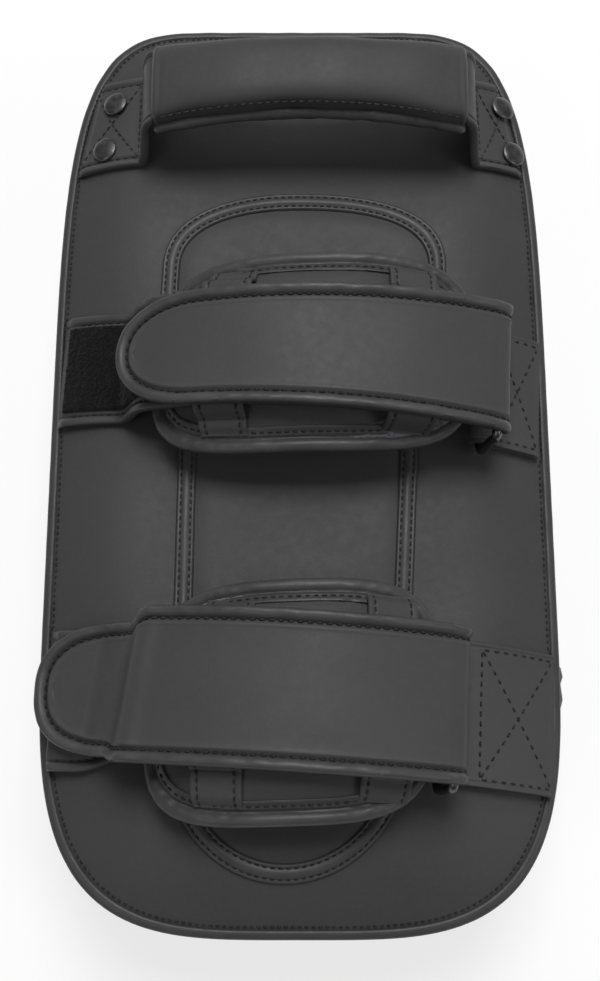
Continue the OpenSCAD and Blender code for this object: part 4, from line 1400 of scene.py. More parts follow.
@dataclass
class Arch:
    """Sizes that a strap and its cuff share: where the arch stands and how its layers lie on each other."""

    site: Site
    middle_y: float
    arch_x: float
    radius: float
    gap: float
    ring_deg: float
    flap_width: float
    tongue_width: float
    reach: float
    cuff_gap: float
    cuff_width: float
    keepers: tuple[float, float]
    panel_half: float
    back_z: float = 100.0
    slant: float = -3.2
    base_at: float = 11.85
    base_thick: float = 3.0
    base_width: float = 48.0
    bar_at: float = 16.85
    flap_at: float = 18.85
    bore: float = 2.0
    cuff_thick: float = 11.5
    cuff_shift: float = -4.3
    keeper_at: float = 16.0
    bind: float = 4.0
    ring_shift: float = 2.5

    @property
    def cuff_half(self) -> float:
        """Half length of the cuff, which ends short of the ring."""
        return (self.radius + self.cuff_thick / 2) * math.radians(self.ring_deg) - self.cuff_shift - self.cuff_gap

    @property
    def fold_half(self) -> float:
        """Half width of the strap inside the ring."""
        return self.flap_width / 2 - self.bind

    @property
    def bar(self) -> Array:
        """Axis of the ring's upper bar."""
        return self.point(self.bar_at, self.ring_deg)

    @property
    def centre_z(self) -> float:
        """Height of the arch's centre."""
        return self.back_z + self.gap - self.radius

    @property
    def leave_deg(self) -> float:
        """Angle at which the fixed strap leaves the arch."""
        return -math.degrees(math.asin((self.cuff_half - self.cuff_shift + 1.5) / (self.radius + self.base_at)))

    def point(self, at: float, deg: Array | float) -> Array:
        """Point of the arch's plane at a height above its inner radius and an angle from its top."""
        a, r = np.radians(np.asarray(deg, float)), self.radius + at
        return np.stack([self.arch_x + r * np.sin(a), self.centre_z + r * np.cos(a)], -1)

    def name_of(self, piece: str) -> str:
        """Name of this strap's node or body."""
        return f"{self.site.value}_{piece}"

    def world(self, s: float, z: float) -> Colour:
        """Place in the pad's frame, in metres, of a point in the middle of the arch's plane."""
        a = math.radians(self.slant)
        return (s * math.cos(a) * MM, (self.middle_y + s * math.sin(a)) * MM, z * MM)


@dataclass
class ArmStrap:
    """One forearm strap: fixed strap with bound edges and pile, loose end, hook tape, ring and anchor."""

    bench: Bench
    form: PadForm
    arch: Arch
    roll: float = 5.0
    proud: float = 1.2
    flap_thick: float = 3.6
    pile_half: float = 18.5
    pile_thick: float = 1.8
    hook_thick: float = 1.85
    anchor_thick: float = 2.2
    anchor_inset: float = 1.5
    anchor_slant: float = 0.06
    tip: float = 37.0
    tip_grade: float = 2.2
    straight_deg: float = 25.0
    step: float = 12.0
    step_gap: float = 14.0
    foot_run: float = 15.0
    bridge_run: float = 20.0
    low_side: float = 0.0
    low_grade: float = 2.2
    ring_lean: float = 4.0
    turn: float = 0.0
    crease_slant: float = 0.0
    crease_s: float = -60.0
    crease_rise: float = 1.3
    crease_dip: float = 1.2
    flare: float = 0.0
    box_length: float = 32.0
    sewn_inset: float = 4.5
    lift: float = 0.35
    fastener_gap: float = 16.5
    bar_thinning: float = 0.28
    tape_climb: float = 2.35
    tracks: dict[str, Track] = field(default_factory=dict)

    def build(self) -> None:
        """Makes every piece of the strap."""
        paths = {"base": self.base_path(), "flap": self.flap_path(), "anchor": self.anchor_path()}
        for name, path in paths.items():
            self.tracks[name] = Track(path, self.arch.middle_y, self.arch.slant)
        self.fixed_strap()
        self.pile()
        self.loose_end()
        self.hook_tape()
        self.anchor()
        self.bench.dress(self.arch.name_of("ring"), Look.WIRE)

    def ground(self, s: Array, half: float) -> Array:
        """Height at which a strap of a half width lies on the back."""
        return self.form.ground(np.asarray(s, float), self.arch.middle_y, self.arch.slant, half) + self.lift

    def base_path(self) -> Array:
        """Underside of the fixed strap: along the back, up to the arch and over it to the ring's bar.

        Returns:
            Rows of [s, z].
        """
        arch, half = self.arch, self.arch.base_width / 2
        top = arch.point(arch.base_at, arch.leave_deg)
        foot_s = top[0] - self.foot_run
        s = np.linspace(-self.form.width / 2 + self.sewn_inset, foot_s, 16)[:-1]
        foot = np.array([foot_s, float(self.ground(foot_s, half))])
        slope = math.radians(-arch.leave_deg)
        rise = bezier(foot, foot + [9, 2], top - 8 * np.array([math.cos(slope), math.sin(slope)]), top, 30)
        arc = arch.point(arch.base_at, np.linspace(arch.leave_deg, arch.ring_deg, 70))
        return np.concatenate([np.stack([s, self.ground(s, half)], -1), rise, arc])

    def flap_path(self) -> Array:
        """Underside of the loose end, from beyond its tip over the arch and round the ring's bar.

        Returns:
            Rows of [s, z].
        """
        arch = self.arch
        turn = np.radians(np.linspace(90 - arch.ring_deg, -90 - arch.ring_deg, 28))[1:]
        fold = arch.bar + arch.bore * np.stack([np.cos(turn), np.sin(turn)], -1)
        if arch.site is Site.UPPER:
            start = arch.point(arch.flap_at, -self.straight_deg)
            angle = math.radians(self.straight_deg)
            lead = start - np.linspace(34, 0, 18)[:-1, None] * np.array([math.cos(angle), math.sin(angle)])
            arc = arch.point(arch.flap_at, np.linspace(-self.straight_deg, arch.ring_deg, 80))
            return np.concatenate([lead, arc, fold])
        rise = arch.flap_at - arch.base_at
        crest_deg = arch.leave_deg + 1.0
        crest = arch.point(arch.flap_at, crest_deg)
        foot_s = crest[0] - self.bridge_run
        foot = np.array([foot_s, float(self.ground(foot_s, arch.base_width / 2)) + 1.05 * rise])
        bridge = bezier(foot, foot + [9, 0.7], crest - [3.4, 3.9], crest, 50)
        base = Track(self.base_path(), 0.0)
        run = np.linspace(0, base.at(foot_s - 4), 12)
        low = base.place(run, 0.0, rise)[:, [0, 2]]
        slant = (low[1] - low[0]) / np.linalg.norm(low[1] - low[0])
        lead = low[0] - np.linspace(16, 0, 8)[:-1, None] * slant
        arc = arch.point(arch.flap_at, np.linspace(crest_deg, arch.ring_deg, 80))
        return np.concatenate([lead, low[low[:, 0] < foot_s - 1], bridge, arc, fold])

    def flap_outline(self, inset: float, start: float) -> Array:
        """Edge of the loose end as [along, across]: down one side, round the tip x^n + y^n and back.

        Args:
            inset: Distance inside the edge.
            start: Where both sides start, along the path.

        Returns:
            The open outline.
        """
        track, arch = self.tracks["flap"], self.arch
        wide, slim = arch.flap_width / 2 - inset, arch.tongue_width / 2 - inset
        tip = track.at(arch.arch_x - arch.reach)
        step = track.at(arch.arch_x - arch.cuff_half - self.step_gap)
        long = self.tip - inset
        if arch.site is Site.LOWER:
            long = min(self.tip, step - 2 - self.step / 2 - tip) - inset
        along = np.linspace(start, tip + inset + long, 170)[:-1]
        a = np.linspace(np.pi / 2, np.pi, 46)
        sides = []
        edges = ((step + 9, slim, self.tip_grade), (step - 2, slim + self.low_side, self.low_grade))
        for place, half, grade in edges:
            nose = np.stack([long * power(np.cos(a), 2 / grade), half * power(np.sin(a), 2 / grade)], -1)
            nose = nose + [tip + inset + long, 0.0]
            if arch.site is Site.UPPER:
                share = np.clip((along - tip - self.tip) / (self.bar_run - tip - self.tip), 0, 1)
            else:
                share = ramp(along, place - self.step / 2, place + self.step / 2)
            sides.append(np.concatenate([np.stack([along, half + (wide - half) * share], -1), nose]))
        return np.concatenate([sides[0], (sides[1] * [1, -1])[-2::-1]])

    @property
    def bar_run(self) -> float:
        """Distance along the loose end at which it reaches the top of the ring's bar."""
        return self.tracks["flap"].at(float(self.arch.point(self.arch.flap_at, self.arch.ring_deg)[0]))

    def flap_place(self, along: Array, across: Array, up: Array, drawn: float = 1.0) -> Array:
        """Places on the loose end, which lies a little turned and bends along a slanted crease.

        Args:
            along: Distances along it.
            across: Distances from its middle line.
            up: Heights above its underside.
            drawn: How far it follows the ring where it wraps the bar.

        Returns:
            The points.
        """
        track = self.tracks["flap"]
        crease = track.at(float(self.arch.point(self.arch.flap_at, self.arch.leave_deg)[0]))
        lean = self.crease_slant * (across - self.arch.base_width / 2) * (1 - ramp(along, crease - 8, crease + 30))
        shift = drawn * self.arch.ring_shift * ramp(along, self.bar_run + 0.5, self.bar_run + 5.0)
        raised = up + self.ridge(along, across) * np.clip(up / self.flap_thick, 0, 1)
        points = track.place(along - lean, across - shift + self.turn * (self.bar_run - along), raised)
        a = math.radians(self.arch.slant)
        return points + lean[..., None] * np.array([math.cos(a), math.sin(a), 0.0])

    def ridge(self, along: Array, across: Array) -> Array:
        """Height of the fold that a slanted crease raises beside a shallow valley.

        Args:
            along: Distances along the loose end.
            across: Distances from its middle line.

        Returns:
            The heights, 0 where there is no crease.
        """
        if self.crease_slant == 0:
            return np.zeros_like(along)
        s = np.interp(along, self.tracks["flap"].run, self.tracks["flap"].points[:, 0])
        off = s - self.crease_s - self.crease_slant * across
        rise = self.crease_rise * bump(off, centre=2.0, width=3.8)
        return rise - self.crease_dip * bump(off, centre=-4.5, width=4.5)

    def thin(self, along: Array) -> Array:
        """Factor by which the loose end thins where it wraps the bar."""
        return 1 - self.bar_thinning * ramp(along, self.bar_run - 6, self.bar_run + 2)

    def fixed_strap(self) -> None:
        """Fixed strap and its two bound edges, bending towards the ring at the right end."""
        arch, track = self.arch, self.tracks["base"]
        names, half = arch.name_of, arch.base_width / 2
        along = np.linspace(0, track.length, 150)
        flat = np.array([[-half + 3.5, 0.1], [half - 3.5, 0.1], [half - 3.8, 2.1], [half - 5.2, 2.9], [0, 3.0],
                         [-half + 5.2, 2.9], [-half + 3.8, 2.1]])
        tuck = 0.35 + 0.65 * ramp(along, 0.0, 5.0)
        flare = self.flare * (1 - ramp(along, 16.0, 44.0))
        sheet = track.band(along, flat, 0.0, tuck, flare)
        sheet.points = self.form.tucked(sheet.points)
        strap = self.bench.piece(names("strap_sheet"), sheet, Look.STRAP, (names("base_strap"),))
        edge = border(arch.base_thick, roll=4.0, proud=0.8)[:GROOVE_ROW + 1]
        loop = np.concatenate([[[4.2, 0.0]], edge, [[4.2, 2.0]]])
        sides = []
        wear = np.where(loop[:, 1] > 3.3, 0.8, 0.1)[None, :]
        for v in (-1, 1):
            section = np.stack([v * (half - loop[:, 0]), loop[:, 1]], -1)
            sides.append(track.band(along, section, wear, tuck, flare))
        rims = Skin.join(sides)
        rims.points = self.form.tucked(rims.points)
        rim = self.bench.piece(names("strap_rims"), rims, Look.RIM, (names("base_binding"),))
        rows = [stitch_row(track.place, along[6:], v * (half - 4.0) - flare[6:] * (v < 0), 2.6) for v in (-1, 1)]
        threads = stitches(rows, pitch=3.2, length=2.4, radius=0.4)
        seam = self.bench.piece(names("strap_stitching"), threads, Look.THREAD)
        start, end = (arch.world(*arch.point(arch.base_at, arch.ring_deg + d)) for d in (-6, 0))
        for made in (strap, rim, seam):
            names("ring")
            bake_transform(made)
            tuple(start)
            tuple(end)

    def pile(self) -> None:
        """Loop fastener: a grid of tufts on the fixed strap."""
        arch, track = self.arch, self.tracks["base"]
        end = track.at(arch.point(arch.base_at, self.fastener_deg())[0])
        pitch = 0.6
        along, across = np.arange(4.0, end, pitch), np.arange(-self.pile_half, self.pile_half + 0.1, pitch)
        tuft = np.random.default_rng(71).uniform(-1, 1, (len(along), len(across)))
        edge = np.minimum(np.minimum(along - along[0], along[-1] - along)[:, None],
                          (self.pile_half - np.abs(across))[None, :])
        up = arch.base_thick + (self.pile_thick + 0.35 * tuft) * ramp(edge, -pitch, 0.9)
        shake = 0.18 * np.random.default_rng(72).uniform(-1, 1, (2, *up.shape))
        points = track.place(along[:, None] + shake[0], across[None, :] + shake[1], up)
        made = self.bench.piece(arch.name_of("loop_pile"), Skin.grid(points), Look.PILE,
                                (arch.name_of("loop_fastener"),), crease=180, facing=(0, 0, 1))
        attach(made, "pad")

    def fastener_deg(self) -> float:
        """Angle of the fasteners' end beside the first keeper band."""
        return math.degrees((self.arch.keepers[0] - self.fastener_gap) / (self.arch.radius + self.arch.base_at))

    def loose_end(self) -> None:
        """Loose end: the border profile carried round its outline, and the sheet inside it."""
        arch = self.arch
        names = arch.name_of
        profile = border(self.flap_thick, self.roll, self.proud)
        rim = np.concatenate([[[self.roll * 0.97, 0.3]], profile[:GROOVE_ROW + 1], [[self.roll * 1.01, 1.6]]])
        lip = np.array([[1.15, 0.05], [0.92, 0.3], [0.92, 0.55]]) * [self.roll, self.flap_thick]
        sheet = np.concatenate([lip, profile[GROOVE_ROW:]])
        made = [self.bench.piece(names("loose_end"), self.inner_sheet(sheet), Look.STRAP, (names("flap"),)),
                self.bench.piece(names("loose_end_rim"), self.rolled_rim(rim), Look.RIM, (names("flap_binding"),))]
        path = self.flap_outline(self.roll, self.bar_run + 2.5)
        height = (self.flap_thick - 0.5 * self.proud) * self.thin(path[:, 0])
        row = stitch_row(self.rim_place, *path.T, height)
        threads = stitches([row], pitch=3.5, length=2.7, radius=0.5)
        made.append(self.bench.piece(names("loose_end_stitching"), threads, Look.THREAD))
        s, z = arch.bar
        for piece in made:
            names("ring")
            names("flap")
            arch.world(s + 1, z)
            arch.world(s - 13, z)
            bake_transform(piece)

    def rim_place(self, along: Array, across: Array, up: Array) -> Array:
        """Places on the rim of the loose end, which doesn't follow the ring."""
        return self.flap_place(along, across, up, 0.0)

    def rolled_rim(self, profile: Array) -> Skin:
        """Rolled rim: a loop of [inset, height] carried round the outline, slightly gathered by its seam.

        Args:
            profile: The loop.

        Returns:
            The skin, closed at both ends by the ring.
        """
        rows = []
        for inset, height in profile:
            path = self.flap_outline(inset, self.bar_run + 3.0)
            gather = 0.16 * ripple(*path.T, length=7.5, seed=83) * ramp(height, 1.0, 3.0)
            rows.append(self.rim_place(*path.T, (height + gather) * self.thin(path[:, 0])))
        wear = np.where(profile[:, 1] > self.flap_thick + 0.4, 0.85, 0.1)
        skin = Skin.grid(np.stack(rows), wrap_rows=True, wear=wear[:, None])
        cols = len(path)
        skin.faces += [[k * cols + c for k in range(len(profile))] for c in (0, cols - 1)]
        return skin

    def inner_sheet(self, profile: Array) -> Skin:
        """Sheet of the loose end inside its rim, drawn across from one rim to the other.

        Args:
            profile: Rows of [inset, height] from the underside round the edge to the top.

        Returns:
            The skin, closed at the fold's end.
        """
        under = [(*profile[0], u) for u in (1.0, 0.6, 0.3)]
        edge = [(*row, 0.0) for row in profile]
        over = [(*profile[-1], u) for u in (0.1, 0.25, 0.45, 0.7, 1.0)]
        rows = []
        for inset, height, inward in under + edge + over:
            path = self.flap_outline(inset, self.tracks["flap"].length) * [1, 1 - inward]
            wave = ripple(*path.T, length=46.0, seed=81)
            sag = 0.25 * wave * ramp(inward, 0.0, 0.4) * (height > 1)
            rows.append(self.flap_place(*path.T, height * self.thin(path[:, 0]) + sag))
        points = np.stack(rows)
        wear = np.array([0.4 if h > self.flap_thick + 0.2 else 0.0 for _, h, _ in under + edge + over])
        skin = Skin.grid(points, wear=wear[:, None])
        cols = points.shape[1]
        starts = range(0, (len(points) - 1) * cols, cols)
        skin.faces += [[k, k + cols, k + 2 * cols - 1, k + cols - 1] for k in starts]
        return skin

    def hook_tape(self) -> None:
        """Hook tape under the loose end: a thin slab with a stubbled face."""
        arch, track = self.arch, self.tracks["flap"]
        tip = track.at(arch.arch_x - arch.reach)
        end = track.at(arch.point(arch.flap_at, self.fastener_deg())[0])
        along = np.arange(tip + 9.0, end, 0.8)
        count = 46
        share = np.linspace(-1, 1, count)
        nose = np.clip((along - tip - 7.0) / 24.0, 0, 1)
        half = np.minimum(self.pile_half, (arch.tongue_width / 2 - 7) * np.sqrt(nose * (2 - nose)))
        stub = np.random.default_rng(91).uniform(0, 1, (len(along), count))
        low = track.place(along[:, None], half[:, None] * share, -self.hook_thick * (0.75 + 0.25 * stub))
        high = track.place(along[:, None], half[:, None] * share[::-1], 0.15)
        skin = Skin.grid(np.concatenate([low, high], 1), wrap_cols=True, caps=True)
        made = self.bench.piece(arch.name_of("hook_tape"), skin, Look.HOOKS, (arch.name_of("hook_fastener"),))
        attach(made, arch.name_of("flap"))

    @property
    def anchor_half(self) -> float:
        """Half width of the anchor strap."""
        return self.arch.flap_width / 2 - self.anchor_inset

    def anchor_ground(self, s: Array) -> Array:
        """Underside of the anchor strap, which climbs over the panel's tape where it reaches that."""
        climb = ramp(-np.asarray(s, float), -(self.arch.panel_half + 9.0), -(self.arch.panel_half + 3.0))
        return self.ground(s, self.anchor_half) + self.tape_climb * climb

    def anchor_path(self) -> Array:
        """Middle of the anchor strap: from the seam to the ring's lower bar, round it and back on top of itself.

        Returns:
            Rows of [s, z].
        """
        arch, thick = self.arch, self.anchor_thick
        s_bar = float(arch.bar[0]) - self.ring_lean
        low = float(self.anchor_ground(s_bar))
        bar = np.array([s_bar, low + arch.bore + thick])
        end = self.form.width / 2 - 4.6
        s = np.linspace(end, s_bar, 22)
        under = np.stack([s, self.anchor_ground(s) + thick / 2], -1)
        turn = np.radians(np.linspace(-90, -270, 24))[1:]
        loop = bar + (arch.bore + thick / 2) * np.stack([np.cos(turn), np.sin(turn)], -1)
        back = np.linspace(s_bar, end, 40)[1:]
        top = self.anchor_ground(back) + thick * 1.5 + 0.1
        drop = (loop[-1, 1] - low - thick * 1.5 - 0.1) * (1 - ramp(back, s_bar, s_bar + 11))
        return np.concatenate([under, loop, np.stack([back, top + drop], -1)])

    def anchor_place(self, along: Array, across: Array, up: Array) -> Array:
        """Places on the anchor strap, which is slimmer inside the ring and slants a little more beyond it.

        Args:
            along: Distances along it.
            across: Distances from its middle line, for its full width.
            up: Heights off its middle.

        Returns:
            The points.
        """
        track, arch = self.tracks["anchor"], self.arch
        along, across, up = spread(along, across, up)
        s = np.interp(along, track.run, track.points[:, 0])
        beyond = ramp(s, arch.bar[0] + 0.5, arch.bar[0] + 5.5)
        slim = arch.fold_half / self.anchor_half
        shift = arch.ring_shift * (1 - beyond) + self.anchor_slant * np.maximum(s - arch.bar[0], 0)
        tuck = 0.5 + 0.5 * ramp(np.minimum(along, track.length - along), 0.0, 4.0)
        return track.place(along, across * (slim + (1 - slim) * beyond) - shift, up * tuck)

    def anchor(self) -> None:
        """Anchor strap: a folded strap round the ring's lower bar, with a crossed box of stitches."""
        arch, track = self.arch, self.tracks["anchor"]
        names = arch.name_of
        edge = border(self.anchor_thick, roll=2.0, proud=0.2) - [0, self.anchor_thick / 2]
        loop = hemmed(edge, self.anchor_half)
        along = np.linspace(0, track.length, 160)
        points = self.anchor_place(along[:, None], *loop.T)
        skin = Skin.grid(points, wrap_cols=True, caps=True)
        made = self.bench.piece(names("anchor_strap"), skin, Look.STRAP, (names("ring_anchor"),))
        box = self.anchor_half - 2.9
        first, last = track.length - self.box_length, track.length - 1.5
        up = self.anchor_thick / 2 - 0.05
        rows = crossed_box(self.anchor_place, np.linspace(first, last, 40), np.full(30, first), box, up, up)
        threads = stitches(rows, pitch=3.9, length=2.7, radius=0.45)
        seam = self.bench.piece(names("anchor_stitching"), threads, Look.THREAD)
        for piece in (made, seam):
            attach(piece, "pad")


@dataclass
class Cuff:
    """Padded shield under a strap: cover, lining, bound edge and two keeper bands."""

    bench: Bench
    arch: Arch
    edge_thick: float = 6.0
    turn: float = 0.0
    drift: float = 0.0
    slip: float = 0.0
    squareness: float = 3.6
    rim_radius: float = 2.75
    flange: float = 3.4
    stitch_inset: float = 1.4
    keeper_half: float = 9.5
    keeper_thick: float = 1.5
    keeper_stitch: float = 2.75
    pinch_depth: float = 0.9
    pinch_reach: float = 8.5

    def build(self) -> None:
        """Makes every piece of the cuff."""
        arc = self.arch.point(self.arch.cuff_thick / 2, np.linspace(-40, 40, 200))
        self.track = Track(arc, self.arch.middle_y, self.arch.slant)
        self.middle = self.track.length / 2 + self.arch.cuff_shift
        self.cover()
        self.lining()
        self.rim()
        self.keepers()
        self.bench.dress(self.arch.name_of("cuff_foam"), Look.FIRM_FOAM)

    def place(self, along: Array, across: Array, at: Array) -> Array:
        """Places on the cuff, counted from its middle and its inner face."""
        return self.track.place(np.asarray(along) + self.middle, across, np.asarray(at) - self.arch.cuff_thick / 2)

    def lay(self, along: Array, across: Array, at: Array) -> Array:
        """Places on the padding, which lies a little turned under its strap."""
        return self.place(np.asarray(along) - self.slip, across + self.drift + self.turn * np.asarray(along), at)

    def outline(self, inset: float) -> Array:
        """Outline x^n + y^n of the cuff, with n its squareness.

        Args:
            inset: Distance inside the outline.

        Returns:
            Rows of [along, across].
        """
        a, bend = np.linspace(0, 2 * np.pi, 260, endpoint=False), 2 / self.squareness
        long, wide = self.arch.cuff_half - inset, self.arch.cuff_width / 2 - inset
        return np.stack([long * power(np.cos(a), bend), wide * power(np.sin(a), bend)], -1)

    def crown(self, inset: float | Array) -> Array:
        """Thickness at a distance from the edge: full in the middle, falling with the fourth power to the edge."""
        v = np.clip(1 - np.asarray(inset, float) / (self.arch.cuff_width / 2), 0, 1)
        return self.edge_thick + (self.arch.cuff_thick - self.edge_thick) * (1 - v**4)

    def pinch(self, along: Array, inset: float) -> Array:
        """How far the keeper bands draw the padding in."""
        pull = sum(bump(along - self.arch.cuff_shift, k, self.pinch_reach) for k in self.arch.keepers)
        return self.pinch_depth * pull * ramp(inset, 1.0, 6.0)

    def carried(self, profile: Array) -> Array:
        """A profile carried round the outline.

        Args:
            profile: Rows of [inset, height].

        Returns:
            Grid of points, a row for each of the profile's.
        """
        rows = []
        for inset, height in profile:
            path = self.outline(inset)
            pinch = self.pinch(path[:, 0], inset) if height > self.edge_thick * 0.8 else 0.0
            rows.append(self.lay(*path.T, height - pinch))
        return np.stack(rows)

    def cover(self) -> None:
        """Cover: the crown carried round the outline to the middle line."""
        half = self.arch.cuff_width / 2
        insets = np.array([-0.5, 0.5, 2, 4, 6, 8, 10, 13, 17, 22, 28, half])
        dip = 0.6 * np.exp(-np.maximum(insets - self.flange, 0) / 1.2)
        skin = Skin.grid(self.carried(np.stack([insets, self.crown(insets) - dip], -1)), wrap_cols=True)
        names = self.arch.name_of
        made = self.bench.piece(names("cuff_padding"), skin, Look.LEATHER, (names("cuff_cover"),), facing=(0, 0, 1))
        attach(made, names("cuff"))

    def lining(self) -> None:
        """Lining of the arm's side, slightly full towards the arm."""
        half = self.arch.cuff_width / 2
        profile = np.array([[-0.5, 1.2], [1.0, 0.6], [4.0, 0.2], [10.0, 0.0], [20.0, 0.0], [half, 0.0]])
        skin = Skin.grid(self.carried(profile), wrap_cols=True)
        names = self.arch.name_of
        made = self.bench.piece(names("cuff_inside"), skin, Look.LINING, (names("cuff_lining"),), facing=(0, 0, -1))
        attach(made, names("cuff"))

    def rim(self) -> None:
        """Bound edge: a round roll outside the outline and a stitched flange on the cover."""
        r = self.rim_radius
        turn = np.radians(np.linspace(35, 325, 20))
        roll = np.stack([-r - 0.35 + r * np.cos(turn), r + 1.1 + r * np.sin(turn)], -1)
        top = np.array([[self.flange, -0.5], [self.flange, 0.25], [self.flange - 0.5, 0.5], [2.3, 0.45], [1.7, 0.2],
                        [1.1, 0.2], [0.6, 0.35], [0.1, 0.1], [-0.25, -0.5]])
        lay = np.stack([top[:, 0], self.crown(top[:, 0]) + top[:, 1]], -1)
        loop = np.concatenate([lay, roll, [[0.6, 1.0], [1.0, 4.0]]])
        wear = np.where((loop[:, 0] < -0.8) & (loop[:, 1] > r + 1.5), 0.8, 0.15)
        rows = []
        for inset, height in loop:
            path = self.outline(inset)
            gather = 0.2 * ripple(*path.T, length=7.0, seed=17)
            rows.append(self.lay(*path.T, height + gather * (height > 3)))
        names = self.arch.name_of
        skin = Skin.grid(np.stack(rows), wrap_rows=True, wrap_cols=True, wear=wear[:, None])
        made = self.bench.piece(names("cuff_rim"), skin, Look.RIM, (names("cuff_binding"),))
        path = closed(self.outline(self.stitch_inset))
        row = stitch_row(self.lay, *path.T, float(self.crown(self.stitch_inset)) + 0.2)
        threads = stitches([row], pitch=3.2, length=2.4, radius=0.4)
        seam = self.bench.piece(names("cuff_stitching"), threads, Look.THREAD)
        for piece in (made, seam):
            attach(piece, names("cuff"))

    def keeper_height(self, across: Array, inset: Array) -> Array:
        """Height of a keeper band's underside: tucked under the bound edge, on the cover, then over the strap.

        Args:
            across: Distances from the strap's middle line.
            inset: Distances inside the cuff's edge.

        Returns:
            The heights.
        """
        on_cover = self.crown(inset) + 0.25 - 1.7 * ramp(-inset, -self.flange - 2.2, -self.flange + 0.6)
        strap = self.arch.base_width / 2
        over = 1 - ramp(np.abs(across), strap + 0.6, strap + 4.4)
        return on_cover + (self.arch.keeper_at - on_cover) * over

    def keepers(self) -> None:
        """Keeper bands: a hemmed strip bridging the strap, stitched along both edges."""
        thick, half, arch = self.keeper_thick, self.keeper_half, self.arch
        loop = hemmed(border(thick, roll=2.6, proud=0.25), half)
        count = 110
        bands, rows = [], []
        for middle in arch.keepers:
            start = (middle - arch.cuff_shift) * (arch.radius + arch.cuff_thick / 2) / (arch.radius + arch.base_at)
            offset = self.drift + self.turn * start
            reach = arch.cuff_width / 2 - self.flange + 1.2
            across = np.linspace(-reach, reach, count) + offset
            height = self.keeper_height(across, arch.cuff_width / 2 - np.abs(across - offset))
            slope = np.gradient(height, across)
            lean = np.stack([-slope, np.ones_like(slope)], -1) / np.sqrt(1 + slope**2)[:, None]
            points = self.place(start + loop[:, 0], across[:, None] + loop[:, 1] * lean[:, :1],
                                height[:, None] + loop[:, 1] * lean[:, 1:])
            bands.append(Skin.grid(points, wrap_cols=True, caps=True))
            for v in (-1, 1):
                along = np.full(count, start + v * (half - self.keeper_stitch))
                line, above = (self.place(along, across + up * lean[:, 0], height + up * lean[:, 1])
                               for up in (thick - 0.1, thick + 0.9))
                rows.append((line, above - line))
        names = arch.name_of
        made = self.bench.piece(names("keeper_bands"), Skin.join(bands), Look.STRAP, (names("cuff_keepers"),))
        threads = stitches(rows, pitch=3.0, length=2.2, radius=0.38)
        seam = self.bench.piece(names("keeper_stitching"), threads, Look.THREAD)
        for piece in (made, seam):
            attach(piece, names("cuff"))


# The studio


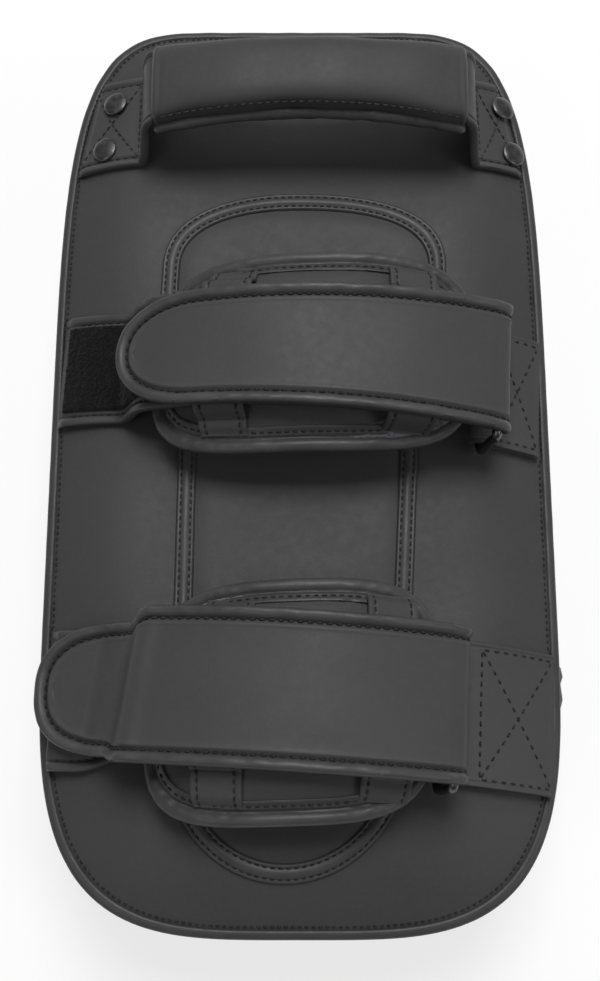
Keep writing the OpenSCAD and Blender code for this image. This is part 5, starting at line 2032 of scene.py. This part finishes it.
@dataclass
class Studio:
    """White floor, soft lamps and the camera of the photograph."""

    lens: float = 49.98
    camera_place: Colour = (0.0, -0.1606, 0.630)
    camera_tilt: float = 14.65
    sensor: float = 36.0
    sky: float = 0.16
    floor_half: float = 4.0
    floor_z: float = -0.0004
    floor_glow: float = 0.72
    lamp_side: float = 1.0
    aim: Colour = (0.0, 0.0, 0.06)

    def build(self) -> None:
        """Sets the stage."""
        self.floor()
        self.world()
        self.lamp("key_lamp", (0.1, 0.88, 2.55), power_w=49.0)
        self.lamp("far_lamp", (0.1, 1.9, 2.1), power_w=15.0)
        self.lamp("left_lamp", (-1.3, -1.3, 2.1), power_w=8.5)
        self.lamp("right_lamp", (1.9, -0.7, 1.7), power_w=11.0)
        self.camera()
        bpy.context.scene.view_settings.view_transform = "Standard"

    def floor(self) -> None:
        """Pale floor that shows white to the camera and keeps the pad's shadow."""
        mesh = bpy.data.meshes.new("floor")
        half = self.floor_half
        corners = ((-half, -half), (half, -half), (half, half), (-half, half))
        mesh.from_pydata([(*c, self.floor_z) for c in corners], [], [(0, 1, 2, 3)])
        floor = bpy.data.objects.new("floor", mesh)
        bpy.context.scene.collection.objects.link(floor)
        n = Nodes(bpy.data.materials.new("white_floor"))
        n.join(n.shader, {"Base Color": (0.92, 0.92, 0.92, 1.0), "Roughness": 0.8})
        path = n.add("ShaderNodeLightPath", {})
        seen = n.sums("MAXIMUM", path.outputs["Is Camera Ray"],
                      n.sums("MAXIMUM", path.outputs["Is Glossy Ray"], path.outputs["Is Transmission Ray"]))
        glow = n.add("ShaderNodeEmission", {"Color": (1, 1, 1, 1), "Strength": 1.0})
        share = n.sums("MULTIPLY", seen, self.floor_glow)
        mixed = n.add("ShaderNodeMixShader", {0: share, 1: n.shader.outputs[0], 2: glow.outputs[0]})
        out = next(k for k in n.tree.nodes if k.type == "OUTPUT_MATERIAL")
        n.join(out, {"Surface": mixed.outputs[0]})
        mesh.materials.append(n.block)

    def world(self) -> None:
        """Even sky light, white where a ray sees the backdrop."""
        n = Nodes(bpy.data.worlds.new("studio_sky"))
        path = n.add("ShaderNodeLightPath", {})
        seen = n.sums("MAXIMUM", path.outputs["Is Camera Ray"], path.outputs["Is Transmission Ray"])
        n.join(n.shader, {"Color": (1, 1, 1, 1), "Strength": n.span(seen, self.sky, 1.0)})
        bpy.context.scene.world = n.block

    def lamp(self, name: str, where: Colour, power_w: float) -> None:
        """Square soft lamp that points at the pad.

        Args:
            name: Name of the lamp.
            where: Its place in metres.
            power_w: Its power in watts.
        """
        light = bpy.data.lights.new(name, "AREA")
        light.energy = power_w
        light.size = self.lamp_side
        made = bpy.data.objects.new(name, light)
        made.location = where
        x, y, z = np.array(self.aim) - np.array(where)
        made.rotation_euler = (math.atan2(math.hypot(x, y), -z), 0.0, math.atan2(y, x) - math.pi / 2)
        bpy.context.scene.collection.objects.link(made)

    def camera(self) -> None:
        """Camera of the photograph, above the plain end and tilted towards the handle."""
        data = bpy.data.cameras.new("camera")
        data.lens = self.lens
        data.sensor_width = self.sensor
        made = bpy.data.objects.new("camera", data)
        made.location = self.camera_place
        made.rotation_euler = (math.radians(self.camera_tilt), 0.0, 0.0)
        bpy.context.scene.collection.objects.link(made)
        bpy.context.scene.camera = made


def main() -> None:
    """Builds the scene in order."""
    logging.basicConfig(level=logging.INFO, format="%(name)s: %(message)s")
    form = PadForm()
    bench = Bench()
    PadShell(bench, form).build()
    CentrePanel(bench, form).build()
    Handle(bench, form).build()
    upper = Arch(Site.UPPER, middle_y=25.0, arch_x=9.0, radius=130.0, gap=26.0, ring_deg=28.0,
                 flap_width=53.0, tongue_width=47.0, reach=80.0, cuff_gap=9.3, cuff_width=71.0,
                 keepers=(-38.0, 35.0), panel_half=59.5)
    lower = Arch(Site.LOWER, middle_y=-107.0, arch_x=2.0, radius=105.0, gap=23.0, ring_deg=27.0,
                 flap_width=58.0, tongue_width=49.0, reach=103.0, cuff_gap=4.1, cuff_width=79.0,
                 keepers=(-31.0, 32.0), panel_half=48.5)
    ArmStrap(bench, form, upper, box_length=21.0, turn=-0.018).build()
    Cuff(bench, upper, turn=0.07, drift=2.0).build()
    ArmStrap(bench, form, lower, turn=0.009, crease_slant=0.085, flare=7.0, low_side=2.4, low_grade=2.7).build()
    Cuff(bench, lower, turn=0.085, drift=-1.7, slip=1.4).build()
    Studio().build()
    bpy.context.view_layer.update()


if __name__ == "__main__":
    main()
